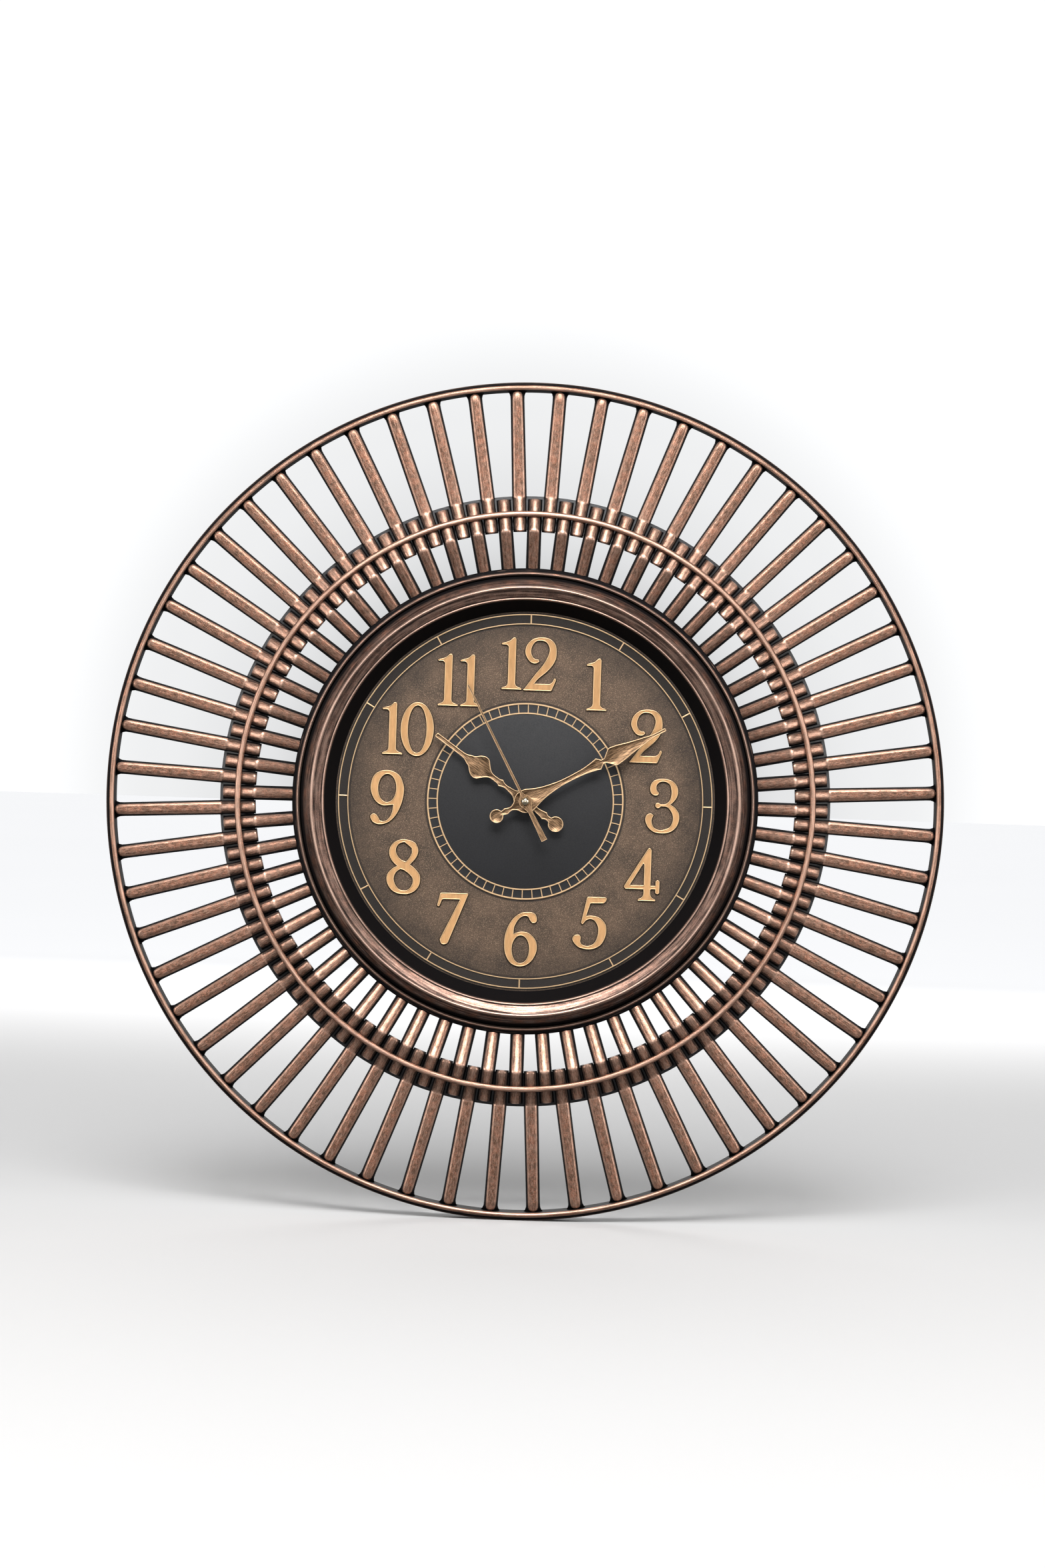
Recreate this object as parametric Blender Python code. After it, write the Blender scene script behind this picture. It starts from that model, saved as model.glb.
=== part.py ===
"""Sunburst wall clock: a turned bezel and dial in a frame of sixty inner and sixty outer rays.

Everything is drawn facing the viewer: x to the right, y towards twelve o'clock, z out of the wall.
The empty "clock" then stands that drawing up, so that in the world the dial faces -Y and twelve is +Z.
The origin is the dial's axis on the wall. Metres throughout; MM turns millimetres into metres.
"""
import math

import bmesh
import bpy
from mathutils import Vector

MM = 0.001
GAP = 0.3                       # clearance between touching pieces, mm

# ---- driving dimensions, mm ---------------------------------------------------------------------
CLOCK_RADIUS = 254.0            # outer ring, a 20 inch clock
RING_INNER_RADIUS = 249.2
RING_BACK = 11.0                # heights are measured from the wall
RING_FRONT = 25.4
RING_SEGMENTS = 60

RAY_COUNT = 60                  # in each of the two rows
RAY_PITCH = 2 * math.pi / RAY_COUNT
RAY_THICKNESS = 5.0
BACKING_THICKNESS = 1.8
RIDGE_RADIUS = 163.4            # both rows of rays are highest here
RIDGE_FRONT = 34.0
VALLEY_RADIUS = 184.2           # where the outer rays turn flat
VALLEY_FRONT = 24.4
HUB_RAY_FRONT = 25.0            # front of the inner rays where they leave the hub

MID_RING_INNER = 171.7          # the hoop laid over the sloping band
MID_RING_OUTER = 175.5

HUB_OUTER_RADIUS = 141.2
HUB_SEAT_RADIUS = 136.6         # the bezel stands inside this step
HUB_INNER_RADIUS = 128.4
HUB_BACK = 18.6
HUB_SEAT = 21.6

BEZEL_RADIUS = 136.2
BEZEL_CREST_RADIUS = 129.2
BEZEL_CREST = 38.0
LIP_RADIUS = 121.9
LIP_FRONT = 35.5
DIAL_OPENING_RADIUS = 114.8

HOUSING_RADIUS = 128.0
HOUSING_FLANGE_RADIUS = 140.0
HOUSING_WALL = 2.0
HOUSING_SEGMENTS = 48

BEZEL_SCREW_RADIUS = 132.4
BEZEL_SCREW_ANGLES = (0.0, 90.0, 180.0, 270.0)
FRAME_SCREW_RADIUS = 177.0
FRAME_SCREW_ANGLES = (45.0, 135.0, 225.0, 315.0)    # each lies on an outer ray
SCREW_HOLE_RADIUS = 1.9
KEYHOLE_Y = 95.0                # centre of the round entry
KEYHOLE_RADIUS = 5.2
KEYHOLE_SLOT = 2.4              # half width of the slot above the entry
HANGER_SCREW_X = 15.0
HANGER_SCREW_Y = KEYHOLE_Y + 3.0
PLATE_THICKNESS = 1.2

DIAL_RADIUS = 126.5
DIAL_BACK = 20.5
DIAL_FRONT = 22.5
DIAL_HOLE_RADIUS = 4.4
RELIEF_BASE = DIAL_FRONT + GAP  # underside of everything applied to the dial
NUMERAL_RADIUS = 83.1           # centres of the hour figures
FIGURE_UNIT = 0.4035            # one unit of the figure outlines; a figure is 80 units tall
FIGURE_THICKNESS = 1.2
TRACK_THICKNESS = 0.5
HOUR_TRACK_INNER = 106.9
HOUR_TRACK_OUTER = 114.2
MINUTE_TRACK_RADIUS = 59.8

CASE_SIDE = 56.0
CASE_BACK = 2.4
CASE_DEPTH = 16.5
CASE_WALL = 1.2
CASE_FRONT = CASE_BACK + CASE_DEPTH
CHAMBER_FLOOR = CASE_BACK + CASE_WALL
CHAMBER_ROOF = CASE_FRONT - CASE_WALL
PARTITION_TOP = -10.7           # y of the wall between the gear chamber and the battery bay
BUSHING_RADIUS = 4.0
BUSHING_BORE = 2.6
BUSHING_FRONT = 27.4
RUBBER_WASHER_RADIUS = 9.0
WASHER_RADIUS = 6.7             # both hidden by the hub of the hour hand
NUT_RADIUS = 6.2

BATTERY_RADIUS = 7.1
BATTERY_LENGTH = 49.0
BATTERY_Y = -19.35
BATTERY_HEIGHT = CHAMBER_ROOF - 0.4 - BATTERY_RADIUS

HOUR_HAND_BACK = 28.0
MINUTE_HAND_BACK = 30.6
SECOND_HAND_BACK = 33.0
HAND_THICKNESS = 0.8
HAND_HUB_RADIUS = 6.9
CAP_RADIUS = 2.85
HOUR_ANGLE = 305.1              # degrees clockwise from twelve
MINUTE_ANGLE = 61.0
SECOND_ANGLE = 332.0

# Gear centres in the movement, mm, and modules that fit the distances between them.
MINUTE_WHEEL_AT = (-8.0, 0.0)
KNOB_AT = (-16.0, 0.0)
MOTION_MODULE = 0.4             # cannon pinion 10, minute wheel 30 and 8, hour wheel 32, knob pinion 10
THIRD_DISTANCE = 10.5
THIRD_AT = (THIRD_DISTANCE * math.cos(math.radians(20)), THIRD_DISTANCE * math.sin(math.radians(20)))
THIRD_WHEEL_MODULE = 2 * THIRD_DISTANCE / (6 + 45)
CENTRE_WHEEL_MODULE = 2 * THIRD_DISTANCE / (6 + 48)
FIFTH_DISTANCE = 9.0
FIFTH_AT = (FIFTH_DISTANCE * math.cos(math.radians(110)), FIFTH_DISTANCE * math.sin(math.radians(110)))
SECONDS_MODULE = 2 * FIFTH_DISTANCE / (6 + 30)
ROTOR_MODULE = 0.4              # rotor pinion 6, intermediate wheel 36
ROTOR_DISTANCE = ROTOR_MODULE * (6 + 36) / 2
ROTOR_AT = (FIFTH_AT[0] + ROTOR_DISTANCE * math.cos(math.radians(160)),
            FIFTH_AT[1] + ROTOR_DISTANCE * math.sin(math.radians(160)))

# ---- materials: colour, roughness, metallic -----------------------------------------------------
MATERIALS = {
    "copper_rays": ((0.36, 0.20, 0.13), 0.38, 0.55),
    "bezel_bronze": ((0.27, 0.18, 0.13), 0.30, 0.55),
    "dial_brown": ((0.115, 0.085, 0.062), 0.60, 0.15),
    "dial_black": ((0.022, 0.022, 0.026), 0.55, 0.0),
    "figure_gold": ((0.58, 0.38, 0.19), 0.35, 0.70),
    "hand_bronze": ((0.33, 0.22, 0.14), 0.42, 0.60),
    "black_plastic": ((0.020, 0.020, 0.021), 0.50, 0.0),
    "white_plastic": ((0.78, 0.77, 0.73), 0.40, 0.0),
    "brass": ((0.72, 0.53, 0.24), 0.30, 1.0),
    "steel": ((0.60, 0.60, 0.61), 0.32, 1.0),
    "copper_wire": ((0.62, 0.26, 0.12), 0.40, 0.8),
    "board_green": ((0.05, 0.20, 0.09), 0.45, 0.0),
    "rubber": ((0.030, 0.030, 0.030), 0.85, 0.0),
    "battery_label": ((0.10, 0.14, 0.22), 0.35, 0.2),
}


def clear_scene():
    """Remove whatever the file opened with."""
    for existing in list(bpy.data.objects):
        bpy.data.objects.remove(existing)


def paint(node, name):
    """Give a node its own Principled material of one of the finishes above."""
    colour, roughness, metallic = MATERIALS[name]
    material = bpy.data.materials.new(f"{node.name}.{name}")
    material.use_nodes = True
    shader = material.node_tree.nodes["Principled BSDF"]
    shader.inputs["Base Color"].default_value = (*colour, 1.0)
    shader.inputs["Roughness"].default_value = roughness
    shader.inputs["Metallic"].default_value = metallic
    node.data.materials.clear()
    node.data.materials.append(material)


# ---- shapes: outlines are lists of (x, y), profiles are lists of (radius, height), in mm ---------
def new_object(name, bm):
    """Turn a bmesh drawn in millimetres into an object in metres, with its faces pointing out."""
    bmesh.ops.recalc_face_normals(bm, faces=bm.faces)
    bmesh.ops.scale(bm, vec=(MM, MM, MM), verts=bm.verts)
    mesh = bpy.data.meshes.new(name)
    bm.to_mesh(mesh)
    bm.free()
    node = bpy.data.objects.new(name, mesh)
    bpy.context.collection.objects.link(node)
    return node


def prism(name, outlines, back, front):
    """Extrude a flat outline, with any holes after it, from height back to height front."""
    bm = bmesh.new()
    edges = []
    for outline in outlines:
        ring = [bm.verts.new((x, y, back)) for x, y in outline]
        edges += [bm.edges.new((ring[i - 1], ring[i])) for i in range(len(ring))]
    filled = bmesh.ops.triangle_fill(bm, use_beauty=True, edges=edges)
    faces = [item for item in filled["geom"] if isinstance(item, bmesh.types.BMFace)]
    raised = bmesh.ops.extrude_face_region(bm, geom=faces)
    top = [item for item in raised["geom"] if isinstance(item, bmesh.types.BMVert)]
    bmesh.ops.translate(bm, vec=(0, 0, front - back), verts=top)
    return new_object(name, bm)


def turned(name, profile, segments, start=0.0):
    """Turn a profile about the z axis: a closed ring, or a solid if it begins and ends on the axis."""
    bm = bmesh.new()
    solid = profile[0][0] == 0
    angles = [start + 2 * math.pi * step / segments for step in range(segments)]
    rings = []
    for radius, height in profile:
        if radius == 0:
            rings.append([bm.verts.new((0, 0, height))] * segments)
        else:
            points = [(radius * math.cos(a), radius * math.sin(a), height) for a in angles]
            rings.append([bm.verts.new(point) for point in points])
    if not solid:
        rings.append(rings[0])
    for lower, upper in zip(rings, rings[1:]):
        for step in range(segments):
            corners = [lower[step - 1], lower[step], upper[step], upper[step - 1]]
            bm.faces.new(list(dict.fromkeys(corners)))
    return new_object(name, bm)


def circle(radius, segments, centre=(0.0, 0.0)):
    """Points round a circle."""
    angles = [2 * math.pi * step / segments for step in range(segments)]
    return [(centre[0] + radius * math.cos(a), centre[1] + radius * math.sin(a)) for a in angles]


def rectangle(x0, y0, x1, y1):
    """The corners of an upright rectangle."""
    return [(x0, y0), (x1, y0), (x1, y1), (x0, y1)]


def disc(name, radius, back, front, segments=12, centre=(0.0, 0.0)):
    """A plain round peg, mostly for cutting a hole."""
    return prism(name, [circle(radius, segments, centre)], back, front)


def block(name, x0, x1, y0, y1, back, front):
    """A plain box."""
    return prism(name, [rectangle(x0, y0, x1, y1)], back, front)


def combine(node, operation, *others):
    """Join other closed solids to a node, or cut it with them; they are used up."""
    for other in others:
        modifier = node.modifiers.new("combine", 'BOOLEAN')
        modifier.operation = operation
        modifier.solver = 'EXACT'
        modifier.object = other
        depsgraph = bpy.context.evaluated_depsgraph_get()
        mesh = bpy.data.meshes.new_from_object(node.evaluated_get(depsgraph))
        node.modifiers.clear()
        node.data = mesh
        bpy.data.objects.remove(other)
    return node


def smooth(node, degrees=35):
    """Shade a round piece smooth, keeping its real edges sharp."""
    node.data.shade_smooth()
    node.data.set_sharp_from_angle(angle=math.radians(degrees))


def polar(radius, degrees):
    """A point at a clock angle: clockwise from twelve."""
    return radius * math.sin(math.radians(degrees)), radius * math.cos(math.radians(degrees))


# ---- the sunburst frame -------------------------------------------------------------------------
def crest_line(radius):
    """Front of the sloping band that both rows of rays share, between ridge and valley."""
    slope = (VALLEY_FRONT - RIDGE_FRONT) / (VALLEY_RADIUS - RIDGE_RADIUS)
    return RIDGE_FRONT + slope * (radius - RIDGE_RADIUS)


def rays(name, stations, first_angle):
    """A ring of tapered rays through stations of (radius, front, thickness, foot half, face half)."""
    bm = bmesh.new()
    for ray in range(RAY_COUNT):
        angle = first_angle + ray * RAY_PITCH
        out = Vector((math.cos(angle), math.sin(angle), 0))
        across = Vector((-math.sin(angle), math.cos(angle), 0))
        sections = []
        for radius, front, thickness, foot, face in stations:
            corners = [(-foot, front - thickness), (foot, front - thickness), (face, front), (-face, front)]
            sections.append([bm.verts.new(out * radius + across * side + Vector((0, 0, height)))
                             for side, height in corners])
        for near, far in zip(sections, sections[1:]):
            for corner in range(4):
                bm.faces.new([near[corner - 1], near[corner], far[corner], far[corner - 1]])
        bm.faces.new(sections[0])
        bm.faces.new(sections[-1])
    return new_object(name, bm)


def make_outer_sunburst():
    """The rim with its sixty outer rays, whose inner stubs lie between the inner rays."""
    rim = turned("outer_sunburst", [
        (RING_INNER_RADIUS, RING_BACK),
        (CLOCK_RADIUS, RING_BACK),
        (CLOCK_RADIUS, RING_FRONT - 2.2),
        (CLOCK_RADIUS - 2.6, RING_FRONT),
        (RING_INNER_RADIUS, RING_FRONT - 0.6),
    ], RING_SEGMENTS)
    stub = RAY_THICKNESS - 0.8
    stations = [
        (RIDGE_RADIUS - 0.6, RIDGE_FRONT, stub, 3.95, 3.2),
        (VALLEY_RADIUS, VALLEY_FRONT, stub, 4.45, 3.5),
        (RING_INNER_RADIUS + 2.0, VALLEY_FRONT - 0.6, RAY_THICKNESS, 4.2, 3.1),
    ]
    combine(rim, 'UNION', rays("outer_rays", stations, RAY_PITCH / 2))
    combine(rim, 'DIFFERENCE', *[disc("pilot", 1.45, 18.0, 25.4, 8, polar(FRAME_SCREW_RADIUS, a))
                                 for a in FRAME_SCREW_ANGLES])
    paint(rim, "copper_rays")
    return rim


def make_inner_sunburst():
    """The hub with its sixty inner rays and the dark cone that backs both rows of stubs."""
    hub = turned("inner_sunburst", [
        (HUB_INNER_RADIUS, HUB_BACK),
        (HUB_OUTER_RADIUS, HUB_BACK),
        (HUB_OUTER_RADIUS, HUB_SEAT + 4.2),
        (HUB_OUTER_RADIUS - 1.4, HUB_SEAT + 5.6),
        (HUB_SEAT_RADIUS, HUB_SEAT + 4.6),
        (HUB_SEAT_RADIUS, HUB_SEAT),
        (HUB_INNER_RADIUS, HUB_SEAT),
    ], RING_SEGMENTS, start=RAY_PITCH / 2)
    stations = [
        (HUB_OUTER_RADIUS - 1.6, HUB_RAY_FRONT - 0.6, RAY_THICKNESS, 4.4, 2.8),
        (RIDGE_RADIUS, RIDGE_FRONT, RAY_THICKNESS, 3.95, 3.2),
        (VALLEY_RADIUS - 1.0, crest_line(VALLEY_RADIUS - 1.0), RAY_THICKNESS, 4.4, 3.4),
    ]
    combine(hub, 'UNION', rays("inner_rays", stations, 0.0))
    combine(hub, 'DIFFERENCE', *[disc("hole", SCREW_HOLE_RADIUS, 12.0, 25.0, 8, polar(BEZEL_SCREW_RADIUS, a))
                                 for a in BEZEL_SCREW_ANGLES])
    paint(hub, "copper_rays")
    return hub


def make_backing_ring():
    """The dark cone behind the sloping band, screwed to the outer rays and bonded to the inner ones."""
    near = RIDGE_RADIUS + 0.6
    far = VALLEY_RADIUS + 1.2
    top = RAY_THICKNESS + GAP
    ring = turned("backing_ring", [
        (near, crest_line(near) - top - BACKING_THICKNESS),
        (far, crest_line(far) - top - BACKING_THICKNESS),
        (far, crest_line(far) - top),
        (near, crest_line(near) - top),
    ], RING_SEGMENTS, start=RAY_PITCH / 2)
    combine(ring, 'DIFFERENCE', *[disc("hole", 1.5, 12.0, 30.0, 8, polar(FRAME_SCREW_RADIUS, a))
                                  for a in FRAME_SCREW_ANGLES])
    paint(ring, "black_plastic")
    return ring


def make_mid_ring():
    """The half-round hoop laid over the sloping band of stubs."""
    near = MID_RING_INNER
    far = MID_RING_OUTER
    ring = turned("mid_ring", [
        (near, crest_line(near) + GAP),
        (far, crest_line(far) + GAP),
        (far, crest_line(far) + 1.6),
        (far - 1.5, crest_line(far) + 3.2),
        (near, crest_line(near) + 1.5),
    ], RING_SEGMENTS)
    paint(ring, "copper_rays")
    smooth(ring, 60)
    return ring


# ---- bezel, housing and dial --------------------------------------------------------------------
def make_bezel():
    """The turned bezel: bead, cove up to the crest, inner band, lip and the dark cone to the dial."""
    bezel = turned("bezel", [
        (DIAL_OPENING_RADIUS, RELIEF_BASE),
        (128.0, RELIEF_BASE),
        (128.0, HUB_SEAT + GAP),
        (BEZEL_RADIUS, HUB_SEAT + GAP),
        (BEZEL_RADIUS, 29.4),
        (133.6, 33.8),
        (BEZEL_CREST_RADIUS + 0.8, BEZEL_CREST - 0.4),
        (BEZEL_CREST_RADIUS - 0.4, BEZEL_CREST),
        (LIP_RADIUS + 1.2, LIP_FRONT - 0.3),
        (LIP_RADIUS, LIP_FRONT),
    ], RING_SEGMENTS, start=RAY_PITCH / 2)
    combine(bezel, 'DIFFERENCE', *[disc("pilot", 1.6, 20.0, 29.0, 8, polar(BEZEL_SCREW_RADIUS, a))
                                   for a in BEZEL_SCREW_ANGLES])
    paint(bezel, "bezel_bronze")
    smooth(bezel, 40)
    return bezel


def make_back_housing():
    """The dish behind the dial that stands on the wall, with windows for movement and hanger."""
    inside = HOUSING_RADIUS - HOUSING_WALL
    housing = turned("back_housing", [
        (0, 0),
        (HOUSING_RADIUS, 0.0),
        (HOUSING_RADIUS, 15.6),
        (HOUSING_FLANGE_RADIUS, 15.6),
        (HOUSING_FLANGE_RADIUS, HUB_BACK - GAP),
        (HOUSING_RADIUS, HUB_BACK - GAP),
        (HOUSING_RADIUS, DIAL_BACK - GAP),
        (inside, DIAL_BACK - GAP),
        (inside, HOUSING_WALL),
        (0, HOUSING_WALL),
    ], HOUSING_SEGMENTS, start=math.pi / HOUSING_SEGMENTS)
    half = CASE_SIDE / 2 + 1.0
    movement_window = block("window", -half, half, -half, half, -1.0, 4.0)
    hanger_window = block("window", -9.0, 9.0, KEYHOLE_Y - 9.0, KEYHOLE_Y + 15.0, -1.0, 4.0)
    holes = [disc("hole", SCREW_HOLE_RADIUS, 14.0, 20.0, 8, polar(BEZEL_SCREW_RADIUS, a))
             for a in BEZEL_SCREW_ANGLES]
    holes += [disc("hole", 1.3, -1.0, 4.0, 8, (side * HANGER_SCREW_X, HANGER_SCREW_Y)) for side in (-1, 1)]
    combine(housing, 'DIFFERENCE', movement_window, hanger_window, *holes)
    paint(housing, "black_plastic")
    return housing


def make_hanger():
    """The steel keyhole plate inside the housing and its two screws."""
    back = HOUSING_WALL + GAP
    front = back + PLATE_THICKNESS
    plate = block("hanger_plate", -19.0, 19.0, KEYHOLE_Y - 11.0, KEYHOLE_Y + 17.0, back, front)
    combine(plate, 'DIFFERENCE',
            disc("hole", KEYHOLE_RADIUS, 0.0, 6.0, 12, (0.0, KEYHOLE_Y)),
            block("slot", -KEYHOLE_SLOT, KEYHOLE_SLOT, KEYHOLE_Y + 3.5, KEYHOLE_Y + 9.5, 0.0, 6.0),
            *[disc("hole", 1.3, 0.0, 6.0, 8, (side * HANGER_SCREW_X, HANGER_SCREW_Y)) for side in (-1, 1)])
    paint(plate, "steel")
    screws = []
    for side, label in ((-1, "left"), (1, "right")):
        at = (side * HANGER_SCREW_X, HANGER_SCREW_Y)
        screws.append(make_screw(f"hanger_screw_{label}", at, front + GAP, 0.4, 2.6, 1.0, turned_over=True))
    return [plate, *screws]


def make_screw(name, at, head_seat, tip, head_radius, shank_radius, turned_over=False):
    """A slotted pan-head screw whose head bears at head_seat; it points to the front unless turned over."""
    sign = -1 if turned_over else 1
    head_top = head_seat - sign * 1.5
    screw = turned(name, [
        (0, head_top),
        (head_radius * 0.8, head_top),
        (head_radius, head_seat),
        (shank_radius, head_seat),
        (shank_radius, tip - sign * 0.8),
        (0, tip),
    ], 8)
    slot_floor = head_top + sign * 0.7
    slot_top = head_top - sign * 1.0
    combine(screw, 'DIFFERENCE', block("slot", -head_radius - 1, head_radius + 1, -0.3, 0.3,
                                       min(slot_floor, slot_top), max(slot_floor, slot_top)))
    screw.location = (at[0] * MM, at[1] * MM, 0)
    paint(screw, "steel")
    smooth(screw)
    return screw


def make_frame_screws():
    """Screws from behind: four clamp the bezel through hub and housing, four hold the outer rays."""
    screws = []
    for index, angle in enumerate(BEZEL_SCREW_ANGLES, start=1):
        at = polar(BEZEL_SCREW_RADIUS, angle)
        screws.append(make_screw(f"bezel_screw_{index}", at, 15.6 - GAP, 28.0, 3.2, 1.3))
    for index, angle in enumerate(FRAME_SCREW_ANGLES, start=1):
        at = polar(FRAME_SCREW_RADIUS, angle)
        seat = crest_line(FRAME_SCREW_RADIUS + 3.0) - RAY_THICKNESS - BACKING_THICKNESS - 2 * GAP
        screws.append(make_screw(f"frame_screw_{index}", at, seat, 25.0, 2.6, 1.1))
    return screws


def make_dial():
    """The dial plate, the applied hour track, and the black centre with the minute track round it."""
    plate = prism("dial_plate", [circle(DIAL_RADIUS, 60), circle(DIAL_HOLE_RADIUS, 12)],
                  DIAL_BACK, DIAL_FRONT)
    paint(plate, "dial_brown")
    hour_track = turned("hour_track", [
        (HOUR_TRACK_INNER, RELIEF_BASE),
        (HOUR_TRACK_OUTER, RELIEF_BASE),
        (HOUR_TRACK_OUTER, RELIEF_BASE + TRACK_THICKNESS),
        (HOUR_TRACK_INNER, RELIEF_BASE + TRACK_THICKNESS),
    ], 48)
    paint(hour_track, "figure_gold")
    minute_track = turned("minute_track", [
        (DIAL_HOLE_RADIUS, RELIEF_BASE),
        (MINUTE_TRACK_RADIUS, RELIEF_BASE),
        (MINUTE_TRACK_RADIUS, RELIEF_BASE + TRACK_THICKNESS),
        (DIAL_HOLE_RADIUS, RELIEF_BASE + TRACK_THICKNESS),
    ], 48)
    paint(minute_track, "dial_black")
    return [plate, hour_track, minute_track]


# ---- hour figures: outlines in units of 1/80 of the figure's height, about the figure's centre ---
def ellipse(half_width, half_height, centre=(0.0, 0.0), points=16):
    """Points round an upright ellipse."""
    angles = [2 * math.pi * step / points for step in range(points)]
    return [(centre[0] + half_width * math.cos(a), centre[1] + half_height * math.sin(a)) for a in angles]


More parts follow.
